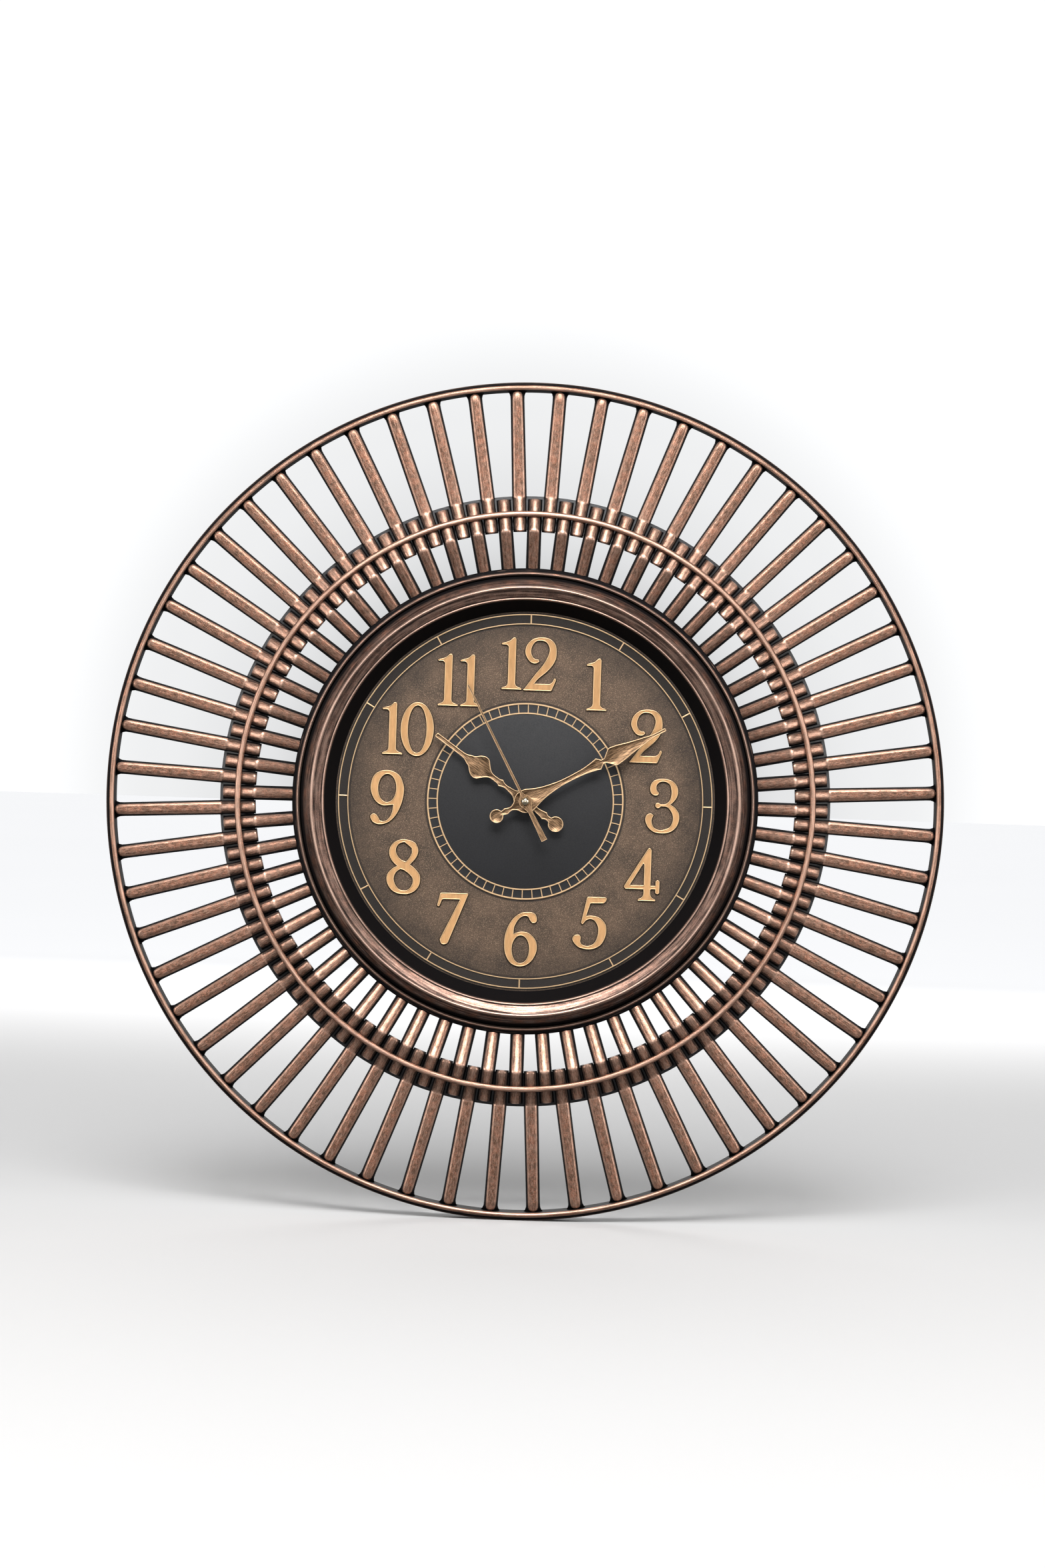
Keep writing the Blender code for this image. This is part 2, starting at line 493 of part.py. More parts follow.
FIGURES = {
    "0": [ellipse(25.0, 40.5, points=20), ellipse(13.8, 35.8, points=16)],
    "1": [[(-17.4, 30.6), (-6.2, 34.1), (-0.5, 38.9), (3.0, 39.5), (4.6, 36.5), (4.6, -28.6), (7.0, -33.6),
           (14.2, -36.4), (14.2, -38.6), (-15.8, -38.6), (-15.8, -36.2), (-9.2, -33.4), (-6.9, -28.0),
           (-6.9, 24.5), (-9.6, 28.2), (-17.0, 28.6)]],
    "2": [[(2.0, 40.8), (13.5, 38.6), (21.3, 31.5), (23.9, 21.5), (23.4, 10.0), (19.0, 0.0), (10.5, -10.2),
           (-2.4, -21.6), (-8.2, -28.9), (13.4, -28.9), (18.4, -26.0), (20.9, -21.0), (22.8, -20.0),
           (24.2, -22.4), (22.7, -27.5), (17.7, -39.4), (-23.2, -39.4), (-24.7, -38.3), (-22.6, -36.0),
           (-8.2, -16.0), (2.0, -3.0), (9.1, 8.5), (12.7, 18.6), (12.7, 25.8), (7.6, 33.7), (-1.0, 35.8),
           (-8.2, 33.7), (-13.2, 25.8), (-14.2, 17.9), (-11.8, 11.4), (-7.5, 7.8), (-3.2, 7.5),
           (-1.3, 4.9), (-4.6, 2.0), (-11.1, 1.6), (-16.8, 4.9), (-21.9, 12.8), (-23.3, 20.7),
           (-19.7, 30.8), (-10.5, 38.6)]],
    "3": [[(-1.0, 40.6), (13.4, 38.1), (21.3, 30.2), (23.2, 20.9), (21.3, 13.0), (16.3, 5.8), (12.0, 2.4),
           (19.2, -2.2), (24.9, -10.1), (26.1, -18.7), (23.5, -28.8), (17.7, -36.0), (9.1, -40.3),
           (-1.0, -41.3), (-11.0, -39.9), (-19.7, -33.8), (-24.3, -25.9), (-25.0, -18.7), (-22.5, -13.7),
           (-16.8, -12.0), (-12.5, -14.5), (-14.2, -18.0), (-15.3, -21.6), (-14.6, -27.3), (-11.0, -33.1),
           (-3.8, -36.3), (3.0, -35.6), (10.6, -32.4), (14.9, -25.9), (16.3, -17.3), (13.4, -8.6),
           (7.0, -1.8), (-2.4, -0.7), (-4.6, -3.2), (-8.0, -4.0), (-10.8, -0.8), (-10.0, 3.2), (-6.2, 4.3),
           (-2.0, 2.4), (5.0, 3.4), (10.6, 8.6), (13.0, 17.3), (12.6, 24.5), (9.8, 32.4), (3.4, 36.0),
           (-3.8, 35.7), (-8.9, 31.0), (-9.6, 25.9), (-8.2, 22.3), (-5.6, 19.4), (-6.4, 16.3),
           (-9.6, 15.1), (-14.6, 16.1), (-18.2, 20.1), (-19.2, 25.9), (-17.5, 33.1), (-12.5, 38.1)]],
    "4": [[(11.0, 39.4), (13.9, 36.0), (13.9, -17.4), (21.1, -17.4), (21.1, -10.4), (24.3, -8.5),
           (27.3, -10.4), (27.3, -28.4), (24.3, -30.1), (21.1, -28.4), (21.1, -22.6), (13.9, -22.6),
           (13.9, -30.4), (16.4, -35.2), (21.6, -38.2), (21.6, -40.4), (-4.8, -40.4), (-4.8, -38.2),
           (0.6, -35.2), (3.2, -30.4), (3.2, -23.2), (-24.0, -23.2), (-26.3, -20.2), (-25.2, -17.2),
           (8.4, 38.2)],
          [(2.2, 15.6), (3.4, 12.8), (3.4, -17.2), (-17.2, -17.2)]],
    "5": [[(-4.2, 38.3), (22.8, 38.3), (24.4, 36.2), (23.2, 32.3), (19.2, 29.1), (0.2, 28.6),
           (-5.6, 9.4), (0.0, 10.2), (8.6, 9.5), (17.3, 5.6), (23.7, -2.3), (25.2, -11.7), (23.7, -21.7),
           (18.7, -31.8), (11.5, -37.6), (2.9, -40.4), (-5.8, -40.4), (-15.8, -37.8), (-21.6, -33.2),
           (-25.2, -27.5), (-25.2, -23.2), (-23.0, -20.3), (-18.0, -18.8), (-14.4, -19.9),
           (-12.7, -23.2), (-13.2, -28.9), (-10.8, -33.2), (-4.3, -35.4), (2.9, -34.0), (8.6, -28.9),
           (11.8, -20.3), (12.7, -11.7), (11.5, -4.5), (7.2, 2.0), (2.2, 4.9), (-2.9, 4.2), (-7.2, 1.3),
           (-8.9, -1.3), (-11.5, -3.4), (-13.4, -0.9), (-5.6, 36.6)]],
    "6": [[(23.5, 30.1), (21.3, 36.5), (16.3, 39.4), (9.1, 40.1), (0.5, 38.7), (-8.2, 33.7),
           (-15.3, 25.8), (-21.1, 14.2), (-24.4, 1.3), (-24.7, -11.7), (-23.3, -21.7), (-19.7, -30.4),
           (-13.9, -37.6), (-6.0, -41.4), (1.9, -41.9), (10.5, -39.0), (18.4, -31.8), (23.5, -21.7),
           (24.9, -13.1), (22.8, -3.0), (17.7, 4.2), (10.5, 8.9), (3.3, 10.4), (-3.9, 9.5), (-11.1, 6.8),
           (-10.3, 15.7), (-6.7, 24.3), (-1.0, 31.5), (6.2, 34.1), (10.5, 32.2), (12.7, 27.9),
           (16.3, 23.9), (20.6, 23.9), (23.2, 26.5)],
          ellipse(12.9, 20.7, (0.0, -16.2), 14)],
    "7": [[(-19.2, 37.4), (21.6, 37.2), (22.2, 35.2), (20.4, 30.9), (-4.8, -33.8), (-7.0, -38.2),
           (-12.0, -40.3), (-16.3, -38.8), (-18.4, -34.5), (-18.4, -31.7), (9.8, 27.8), (-14.8, 27.8),
           (-17.0, 26.6), (-18.4, 23.0), (-20.6, 17.3), (-22.3, 16.5), (-24.2, 18.0), (-23.7, 20.9),
           (-20.4, 35.6)]],
    "8": [[(-1.4, 40.0), (14.4, 36.0), (19.7, 27.3), (20.1, 20.1), (16.5, 11.5), (8.6, 2.6), (17.3, -4.3),
           (23.7, -12.9), (24.5, -20.1), (23.0, -28.8), (16.5, -37.4), (7.2, -41.7), (0.0, -42.4),
           (-10.1, -41.0), (-18.7, -36.0), (-24.7, -27.3), (-26.3, -18.7), (-24.5, -11.5),
           (-17.3, -3.6), (-10.8, -0.3), (-18.7, 7.2), (-23.0, 15.8), (-23.3, 23.0), (-20.9, 30.2),
           (-14.4, 36.7)],
          [(0.0, 35.2), (10.1, 27.3), (10.4, 20.1), (7.2, 12.9), (1.8, 6.6), (-5.8, 10.1), (-11.5, 17.3),
           (-13.2, 24.5), (-10.1, 31.7), (-5.8, 34.5)],
          [(-5.8, -4.6), (0.0, -6.5), (8.6, -12.9), (12.9, -18.7), (12.2, -27.3), (7.2, -34.5),
           (0.0, -36.7), (-7.2, -34.5), (-12.9, -27.3), (-15.1, -18.7), (-12.2, -10.1)]],
    "9": [[(-3.8, 40.3), (7.7, 38.1), (16.3, 32.4), (21.3, 23.0), (23.5, 13.0), (22.8, 1.4),
           (20.6, -8.6), (16.3, -20.1), (10.6, -29.5), (3.4, -36.7), (-3.8, -40.3), (-12.5, -41.7),
           (-21.1, -38.8), (-25.4, -33.1), (-26.1, -28.8), (-22.5, -25.9), (-17.5, -26.6),
           (-13.9, -30.9), (-11.0, -36.0), (-5.3, -36.7), (1.9, -31.7), (6.2, -23.0), (7.9, -11.5),
           (0.5, -12.7), (-8.2, -12.9), (-16.8, -8.6), (-23.3, 0.0), (-26.9, 11.5), (-26.1, 21.6),
           (-23.3, 30.2), (-16.8, 36.7)],
          ellipse(13.4, 21.0, (-1.9, 13.2), 14)],
}
HOUR_DIGITS = {hour: [(str(hour), 0.0)] for hour in range(1, 10)}
HOUR_DIGITS[10] = [("1", -23.0), ("0", 12.6)]
HOUR_DIGITS[11] = [("1", -17.4), ("1", 16.3)]
HOUR_DIGITS[12] = [("1", -25.6), ("2", 15.9)]


def make_numerals():
    """Upright raised figures round the dial, each digit a separate applied piece."""
    pieces = []
    for hour, digits in HOUR_DIGITS.items():
        centre_x, centre_y = polar(NUMERAL_RADIUS, 30 * hour)
        for place, (digit, shift) in enumerate(digits):
            name = f"numeral_{hour}" if len(digits) == 1 else f"numeral_{hour}_{'ab'[place]}"
            outlines = [[((x + shift) * FIGURE_UNIT, y * FIGURE_UNIT) for x, y in outline]
                        for outline in FIGURES[digit]]
            figure = prism(name, outlines, RELIEF_BASE, RELIEF_BASE + FIGURE_THICKNESS)
            figure.location = (centre_x * MM, centre_y * MM, 0)
            paint(figure, "figure_gold")
            pieces.append(figure)
    return pieces


# ---- hands: half widths along the hand, from the disc at the tail to the tip, mm -----------------
HOUR_TAIL = [(17.6, 1.5), (16.0, 1.6), (14.3, 2.6), (12.5, 2.0), (7.8, 1.4)]
HOUR_BLADE = [(8.0, 2.2), (12.0, 1.4), (14.6, 1.1), (17.0, 1.6), (18.6, 2.4), (20.2, 1.6), (24.2, 1.5),
              (26.4, 1.9), (28.4, 3.2), (30.4, 5.2), (32.3, 7.0), (34.3, 7.4), (36.3, 7.0), (38.4, 5.6),
              (40.4, 3.7), (42.4, 2.9), (45.2, 1.7), (48.4, 1.4), (66.6, 1.4), (67.4, 0.9)]
MINUTE_TAIL = [(15.6, 1.4), (14.5, 1.6), (12.9, 2.0), (11.8, 1.6), (9.8, 1.2), (8.4, 1.6)]
MINUTE_BLADE = [(2.4, 6.9), (8.1, 4.8), (12.1, 3.6), (16.1, 2.8), (20.2, 2.2), (24.2, 1.75), (30.3, 1.6),
                (36.3, 1.75), (40.4, 2.0), (44.4, 2.6), (48.4, 3.4), (49.6, 3.8), (51.2, 2.4),
                (52.5, 1.4), (54.5, 1.8), (56.5, 3.6), (58.5, 5.4), (60.5, 5.8), (64.6, 5.2),
                (72.6, 3.4), (80.7, 2.0), (86.8, 1.0), (94.6, 1.0), (95.3, 0.6)]
SECOND_TAIL = [(26.2, 1.8), (7.9, 1.3)]
SECOND_BLADE = [(6.0, 0.75), (40.0, 0.7), (78.4, 0.55)]


def hand_outline(tail, blade, hub_radius, disc_at=0.0, disc_radius=0.0):
    """Right side up from the tail to the tip and mirrored back down the left, round the hub."""
    right = []
    if disc_radius:
        neck = math.asin(min(1.0, tail[0][1] / disc_radius))
        steps = 7
        for step in range(steps + 1):
            angle = (math.pi - neck) * step / steps
            right.append((disc_radius * math.sin(angle), -disc_at - disc_radius * math.cos(angle)))
    else:
        right.append((tail[0][1], -tail[0][0]))
    right += [(half, -along) for along, half in tail[1:]]
    start = math.atan2(-math.sqrt(max(hub_radius ** 2 - tail[-1][1] ** 2, 0)), tail[-1][1])
    stop = math.atan2(math.sqrt(max(hub_radius ** 2 - blade[0][1] ** 2, 0)), blade[0][1])
    steps = 6
    right += [(hub_radius * math.cos(start + (stop - start) * step / steps),
               hub_radius * math.sin(start + (stop - start) * step / steps)) for step in range(1, steps)]
    right += [(half, along) for along, half in blade]
    left = [(-x, y) for x, y in reversed(right) if abs(x) > 1e-6]
    return right + left


def make_hand(name, outline, bore, back, angle):
    """A flat stamped hand with a round bore, turned to its clock angle."""
    hand = prism(name, [outline, circle(bore, 12)], back, back + HAND_THICKNESS)
    hand.rotation_euler[2] = -math.radians(angle)
    paint(hand, "hand_bronze")
    return hand


def make_hands():
    """The three hands on their tubes and the round cap over the centre."""
    hour = make_hand("hour_hand", hand_outline(HOUR_TAIL, HOUR_BLADE, HAND_HUB_RADIUS, 22.9, 4.7), 2.7,
                     HOUR_HAND_BACK, HOUR_ANGLE)
    minute = make_hand("minute_hand", hand_outline(MINUTE_TAIL, MINUTE_BLADE, HAND_HUB_RADIUS, 19.5, 4.15),
                       1.75, MINUTE_HAND_BACK, MINUTE_ANGLE)
    second = make_hand("second_hand", hand_outline(SECOND_TAIL, SECOND_BLADE, 4.0), 0.8,
                       SECOND_HAND_BACK, SECOND_ANGLE)
    base = SECOND_HAND_BACK + HAND_THICKNESS + GAP
    radius = CAP_RADIUS
    arc = [(radius * math.cos(math.radians(a)), base + 0.4 + radius * math.sin(math.radians(a)))
           for a in (0, 25, 50, 72)]
    cap = turned("hand_cap", [(0, base), (radius - 0.3, base), *arc, (0, base + 0.4 + radius)], 16)
    paint(cap, "brass")
    smooth(cap, 50)
    return [hour, minute, second, cap]


# ---- movement: case, gears, stepping motor, battery ---------------------------------------------
def gear_outline(teeth, module, gap_or_tooth_at, pinion):
    """Pointed wheel teeth with a gap at the given angle, or thin pinion leaves with a leaf there."""
    pitch_radius = teeth * module / 2
    pitch = 2 * math.pi / teeth
    points = []
    for tooth in range(teeth):
        if pinion:
            centre = gap_or_tooth_at + tooth * pitch
            root = pitch_radius - 1.15 * module
            tip = pitch_radius + 0.65 * module
            corners = [(root, -0.17), (tip, -0.06), (tip, 0.06), (root, 0.17)]
        else:
            centre = gap_or_tooth_at + (tooth + 0.5) * pitch
            root = pitch_radius - 1.3 * module
            tip = pitch_radius + 0.8 * module
            corners = [(root, -0.5), (tip, 0.0)]
        for radius, offset in corners:
            angle = centre + offset * pitch
            points.append((radius * math.cos(angle), radius * math.sin(angle)))
    return points


def toward(start, end):
    """The direction from one gear centre to another, in radians."""
    return math.atan2(end[1] - start[1], end[0] - start[0])


def put(node, at, finish):
    """Place a gear on its axis and paint it."""
    node.location = (at[0] * MM, at[1] * MM, 0)
    paint(node, finish)
    return node


def level(height):
    """A height inside the movement, measured from the back of its case."""
    return CASE_BACK + height


def wheel(name, teeth, module, at, mate, back, front, bore=0.0):
    """A toothed wheel between two heights in the case, with a gap facing its mate."""
    outlines = [gear_outline(teeth, module, toward(at, mate), False)]
    if bore:
        outlines.append(circle(bore, 12))
    return prism(name, outlines, level(back), level(front))


def leaves(teeth, module, at, mate, back, front, bore=0.0):
    """A pinion's leaves, one of them facing its mate."""
    outlines = [gear_outline(teeth, module, toward(at, mate), True)]
    if bore:
        outlines.append(circle(bore, 12))
    return prism("leaves", outlines, level(back), level(front))


def make_seconds_train():
    """Rotor, intermediate wheel, seconds wheel, third wheel and the rim of the centre wheel."""
    centre = (0.0, 0.0)
    rotor_profile = [(0, level(0.7)), (0.35, level(0.7)), (0.35, level(4.0)), (2.0, level(4.0)),
                     (2.0, level(6.6)), (0.35, level(6.6)), (0.35, level(15.8)), (0, level(15.8))]
    rotor = turned("rotor", rotor_profile, 10)
    combine(rotor, 'UNION', leaves(6, ROTOR_MODULE, ROTOR_AT, FIFTH_AT, 2.2, 3.6))
    fifth = wheel("intermediate_wheel", 36, ROTOR_MODULE, FIFTH_AT, ROTOR_AT, 2.4, 3.4)
    combine(fifth, 'UNION', leaves(6, SECONDS_MODULE, FIFTH_AT, centre, 3.3, 5.6))
    combine(fifth, 'DIFFERENCE', disc("bore", 0.62, level(2.0), level(6.0), 8))
    seconds = turned("seconds_wheel", [(0, level(0.7)), (0.5, level(0.7)), (0.5, 33.7), (0, 33.7)], 12)
    combine(seconds, 'UNION',
            wheel("teeth", 30, SECONDS_MODULE, centre, FIFTH_AT, 4.2, 5.4),
            leaves(6, THIRD_WHEEL_MODULE, centre, THIRD_AT, 6.2, 7.8))
    third = turned("third_wheel", [(0, level(0.7)), (0.5, level(0.7)), (0.5, level(15.8)),
                                   (0, level(15.8))], 10)
    combine(third, 'UNION',
            wheel("teeth", 45, THIRD_WHEEL_MODULE, THIRD_AT, centre, 6.4, 7.6),
            leaves(6, CENTRE_WHEEL_MODULE, THIRD_AT, centre, 8.3, 10.0))
    rim = wheel("centre_wheel", 48, CENTRE_WHEEL_MODULE, centre, THIRD_AT, 8.6, 9.8, bore=1.6)
    return [put(rotor, ROTOR_AT, "steel"), put(fifth, FIFTH_AT, "white_plastic"),
            put(seconds, centre, "white_plastic"), put(third, THIRD_AT, "white_plastic"),
            put(rim, centre, "brass")]


def make_motion_works():
    """Cannon pinion, minute wheel, hour wheel and the setting knob that turns them."""
    centre = (0.0, 0.0)
    cannon = turned("cannon_pinion", [(0.68, level(8.2)), (1.45, level(8.2)), (1.45, 32.2),
                                      (0.68, 32.2)], 12)
    combine(cannon, 'UNION', leaves(10, MOTION_MODULE, centre, MINUTE_WHEEL_AT, 10.4, 12.2, bore=1.2))
    minute = wheel("minute_wheel", 30, MOTION_MODULE, MINUTE_WHEEL_AT, centre, 10.6, 12.0)
    combine(minute, 'UNION', leaves(8, MOTION_MODULE, MINUTE_WHEEL_AT, centre, 11.9, 14.2))
    combine(minute, 'DIFFERENCE', disc("bore", 0.76, level(10.0), level(15.0), 8))
    hour = turned("hour_wheel", [(1.68, level(12.6)), (2.4, level(12.6)), (2.4, 29.6), (1.68, 29.6)], 12)
    combine(hour, 'UNION',
            wheel("teeth", 32, MOTION_MODULE, centre, MINUTE_WHEEL_AT, 12.8, 14.4, bore=2.0))
    knob = turned("setting_knob", [(0, 0.3), (4.2, 0.3), (4.5, 0.7), (4.5, 2.0), (0.6, 2.0),
                                   (0.6, level(15.8)), (0, level(15.8))], 16)
    combine(knob, 'UNION', leaves(10, MOTION_MODULE, KNOB_AT, MINUTE_WHEEL_AT, 10.5, 12.1))
    return [put(cannon, centre, "brass"), put(minute, MINUTE_WHEEL_AT, "white_plastic"),
            put(hour, centre, "white_plastic"), put(knob, KNOB_AT, "white_plastic")]


def make_case():
    """The front case with its threaded bushing and gear posts, and the flat back cover."""
    half = CASE_SIDE / 2
    inner = half - CASE_WALL
    case = block("movement_front_case", -half, half, -half, half, CHAMBER_FLOOR + GAP, CASE_FRONT)
    combine(case, 'UNION', disc("bushing", BUSHING_RADIUS, CASE_FRONT - 0.5, BUSHING_FRONT, 16))
    bay_top = PARTITION_TOP - CASE_WALL
    combine(case, 'DIFFERENCE',
            block("chamber", -inner, inner, PARTITION_TOP, inner, 0, CHAMBER_ROOF),
            block("bay", -inner, inner, -inner, bay_top, 0, CHAMBER_ROOF),
            block("slot", -inner, -inner + 2.2, bay_top - 1, PARTITION_TOP + 1, 0, CHAMBER_ROOF),
            block("slot", inner - 2.2, inner, bay_top - 1, PARTITION_TOP + 1, 0, CHAMBER_ROOF),
            disc("bore", BUSHING_BORE, 10, 40, 16))
    combine(case, 'UNION', disc("post", 0.6, level(10.0), CHAMBER_ROOF + 0.5, 8, MINUTE_WHEEL_AT))
    combine(case, 'DIFFERENCE', *[disc("pivot", radius, level(15.0), level(16.0), 8, at)
                                  for radius, at in ((0.55, ROTOR_AT), (0.7, THIRD_AT), (0.8, KNOB_AT))])
    paint(case, "black_plastic")
    cover = block("movement_back_cover", -half, half, PARTITION_TOP - 0.8, half, CASE_BACK, CHAMBER_FLOOR)
    combine(cover, 'UNION', disc("post", 0.45, CHAMBER_FLOOR - 0.5, level(6.2), 8, FIFTH_AT))
    combine(cover, 'DIFFERENCE', *[disc("pivot", radius, level(0.3), level(2.0), 8, at) for radius, at in
                                   ((0.55, ROTOR_AT), (0.7, THIRD_AT), (0.7, (0.0, 0.0)))],
            disc("knob_hole", 0.85, 0, level(2.0), 8, KNOB_AT))
    paint(cover, "black_plastic")
    return [case, cover]


def make_motor():
    """The stepping motor's stator and coil, and the board with its quartz crystal."""
    plates = [(-21, 8), (-7, 8), (-7, 12), (9, 12), (9, 25), (-21, 25)]
    coil_window = rectangle(-17, 14.8, 5, 20.8)
    stator = prism("stator", [plates, coil_window, circle(2.7, 12, ROTOR_AT)], level(4.6), level(5.8))
    paint(stator, "steel")
    coil = block("coil", -16.4, 4.4, 18.2, 26.4, level(2.2), level(8.4))
    combine(coil, 'DIFFERENCE', block("core", -20, 8, 20.5, 25.3, level(4.3), level(6.1)))
    paint(coil, "copper_wire")
    board = block("circuit_board", -20, 20, 14.6, 26.0, level(11.5), level(12.3))
    paint(board, "board_green")
    crystal = turned("quartz_crystal", [(0, -3.0), (1.0, -3.0), (1.0, 3.0), (0, 3.0)], 10)
    crystal.rotation_euler[1] = math.pi / 2
    crystal.location = (14.0 * MM, 20.0 * MM, level(10.2) * MM)
    paint(crystal, "steel")
    return [stator, coil, board, crystal]


def make_battery():
    """An AA cell and the two spring strips that run from its ends to the board."""
    half = BATTERY_LENGTH / 2
    battery = turned("battery", [(0, -half), (BATTERY_RADIUS, -half), (BATTERY_RADIUS, half), (2.7, half),
                                 (2.7, half + 1.1), (0, half + 1.1)], 20)
    battery.rotation_euler[1] = math.pi / 2
    battery.location = (-0.6 * MM, BATTERY_Y * MM, BATTERY_HEIGHT * MM)
    paint(battery, "battery_label")
    smooth(battery)
    strips = []
    for side, label in ((1, "positive"), (-1, "negative")):
        inner, outer = sorted((side * 25.5, side * 25.9))
        tab_near, tab_far = sorted((side * 18.5, side * 25.8))
        strip = block(f"contact_{label}", inner, outer, -23.0, 18.0, level(10.0), level(13.2))
        combine(strip, 'UNION',
                block("pad", inner, outer, -23.0, -15.5, level(4.5), level(10.5)),
                block("tab", tab_near, tab_far, 15.0, 18.0, level(12.7), level(13.2)))
        paint(strip, "brass")
        strips.append(strip)
    return [battery, *strips]


def make_dial_nut():
    """What clamps the movement to the dial: rubber washer behind, brass washer and nut in front."""
    hole = BUSHING_RADIUS + GAP
    rubber = prism("rubber_washer", [circle(RUBBER_WASHER_RADIUS, 16), circle(hole, 16)],
                   CASE_FRONT + GAP, DIAL_BACK - GAP)
    paint(rubber, "rubber")
    seat = RELIEF_BASE + TRACK_THICKNESS + GAP
    washer = prism("brass_washer", [circle(WASHER_RADIUS, 16), circle(hole, 16)], seat, seat + 0.5)
    paint(washer, "brass")
    nut_back = seat + 0.5 + GAP
    nut = prism("hex_nut", [circle(NUT_RADIUS, 6), circle(hole, 16)], nut_back, nut_back + 2.2)
    paint(nut, "brass")
    return [rubber, washer, nut]


def main():
    clear_scene()
    clock = bpy.data.objects.new("clock", None)
    bpy.context.collection.objects.link(clock)
    clock.rotation_euler[0] = math.radians(90)
    pieces = [make_outer_sunburst(), make_inner_sunburst(), make_backing_ring(), make_mid_ring(),
              make_bezel(), make_back_housing()]
    for group in (make_hanger, make_frame_screws, make_dial, make_numerals, make_hands, make_seconds_train,
                  make_motion_works, make_case, make_motor, make_battery, make_dial_nut):
        pieces += group()
    for piece in pieces:
        piece.parent = clock


main()
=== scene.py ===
"""The looks of the sunburst wall clock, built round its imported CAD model.

Shapes are drawn facing the viewer in millimetres, x to the right, y towards twelve, z out of the
wall, and stood up into the row frame by stand().
"""
import math

import bpy
import numpy as np
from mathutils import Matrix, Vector
from mathutils.geometry import tessellate_polygon


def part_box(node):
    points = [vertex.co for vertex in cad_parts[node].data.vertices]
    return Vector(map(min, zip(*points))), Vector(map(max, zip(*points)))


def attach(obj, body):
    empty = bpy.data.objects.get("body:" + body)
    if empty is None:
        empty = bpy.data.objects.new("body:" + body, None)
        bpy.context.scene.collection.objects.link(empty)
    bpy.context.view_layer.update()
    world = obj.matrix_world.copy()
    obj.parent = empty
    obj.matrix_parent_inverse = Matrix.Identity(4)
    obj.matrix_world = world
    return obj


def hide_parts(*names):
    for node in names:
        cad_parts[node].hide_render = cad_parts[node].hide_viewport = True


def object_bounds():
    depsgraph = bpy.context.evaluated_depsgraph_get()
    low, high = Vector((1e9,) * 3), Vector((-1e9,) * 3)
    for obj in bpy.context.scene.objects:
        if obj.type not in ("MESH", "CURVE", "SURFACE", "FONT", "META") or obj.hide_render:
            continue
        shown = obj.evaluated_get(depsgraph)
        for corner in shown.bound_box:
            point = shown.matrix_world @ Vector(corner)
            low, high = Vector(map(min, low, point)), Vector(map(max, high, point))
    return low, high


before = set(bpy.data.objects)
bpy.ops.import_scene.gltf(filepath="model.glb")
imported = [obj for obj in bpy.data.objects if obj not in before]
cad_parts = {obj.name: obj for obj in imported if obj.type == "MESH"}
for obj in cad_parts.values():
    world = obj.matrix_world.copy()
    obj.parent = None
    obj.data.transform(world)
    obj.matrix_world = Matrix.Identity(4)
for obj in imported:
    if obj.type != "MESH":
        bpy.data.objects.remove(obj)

CAD_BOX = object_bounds()
MM = 0.001
RAY_COUNT = 60
RAY_PITCH = 2 * math.pi / RAY_COUNT
ROUND_STEPS = 240
DIAL_TOP = 22.8
WORLD_FRONT = 0.16
WORLD_REAR = 0.30
UNPAINTED = (0.008, 0.007, 0.008)
DIAL_SHADE_LINES = (0.0604, 0.1064)
HOOP_RADIUS = 173.6
BACKING_INNER, BACKING_OUTER = 164.0, 185.4


# ---- meshes --------------------------------------------------------------------------------------
class Shape:
    """Points with a wear value, an edge value (weight of a paler colour on raised edges, partly worn paint
    and partly painted highlight) and a place in the grain, and the faces between them.
    """

    def __init__(self):
        self.points = []
        self.wear = []
        self.edge = []
        self.grain = []
        self.faces = []
        self.slots = []

    def add(self, point, wear=0.0, edge=0.0, grain=(0.0, 0.0, 0.0)):
        self.points.append(point)
        self.wear.append(wear)
        self.edge.append(edge)
        self.grain.append(grain)
        return len(self.points) - 1

    def face(self, corners, slot=0):
        self.faces.append(corners)
        self.slots.append(slot)


def stand(point):
    """From the facing drawing in millimetres to the row frame in metres."""
    x, y, z = point
    return x * MM, -z * MM, y * MM


def build(name, shape, body, nodes, materials, angle=35):
    """Make the shape an object that rides on its body and stands for the CAD nodes."""
    mesh = bpy.data.meshes.new(name)
    mesh.from_pydata([stand(p) for p in shape.points], [], shape.faces)
    mesh.validate()
    for label, values in (("wear", shape.wear), ("edge", shape.edge)):
        layer = mesh.attributes.new(label, "FLOAT", "POINT")
        layer.data.foreach_set("value", np.array(values, np.float32))
    layer = mesh.attributes.new("grain", "FLOAT_VECTOR", "POINT")
    layer.data.foreach_set("vector", np.array(shape.grain, np.float32).ravel())
    for material in materials:
        mesh.materials.append(material)
    if len(materials) > 1:
        mesh.polygons.foreach_set("material_index", shape.slots)
    mesh.shade_smooth()
    mesh.set_sharp_from_angle(angle=math.radians(angle))
    piece = bpy.data.objects.new(name, mesh)
    bpy.context.scene.collection.objects.link(piece)
    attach(piece, body)
    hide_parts(*nodes)
    return piece


def soften(profile, cut=0.35, steps=3, closed=True):
    """Round every corner of a profile of (radius, height, wear, edge) by a small arc."""
    count = len(profile)
    result = []
    for index, point in enumerate(profile):
        if not closed and index in (0, count - 1):
            result.append(tuple(point))
            continue
        here = np.array(point)
        before = np.array(profile[index - 1])
        after = np.array(profile[(index + 1) % count])
        shares = []
        for other in (before, after):
            shares.append(min(0.45, cut / max(np.linalg.norm((other - here)[:2]), 1e-6)))
        start = here + (before - here) * shares[0]
        stop = here + (after - here) * shares[1]
        for step in range(steps + 1):
            t = step / steps
            result.append(tuple(start * (1 - t) ** 2 + here * 2 * t * (1 - t) + stop * t * t))
    return result


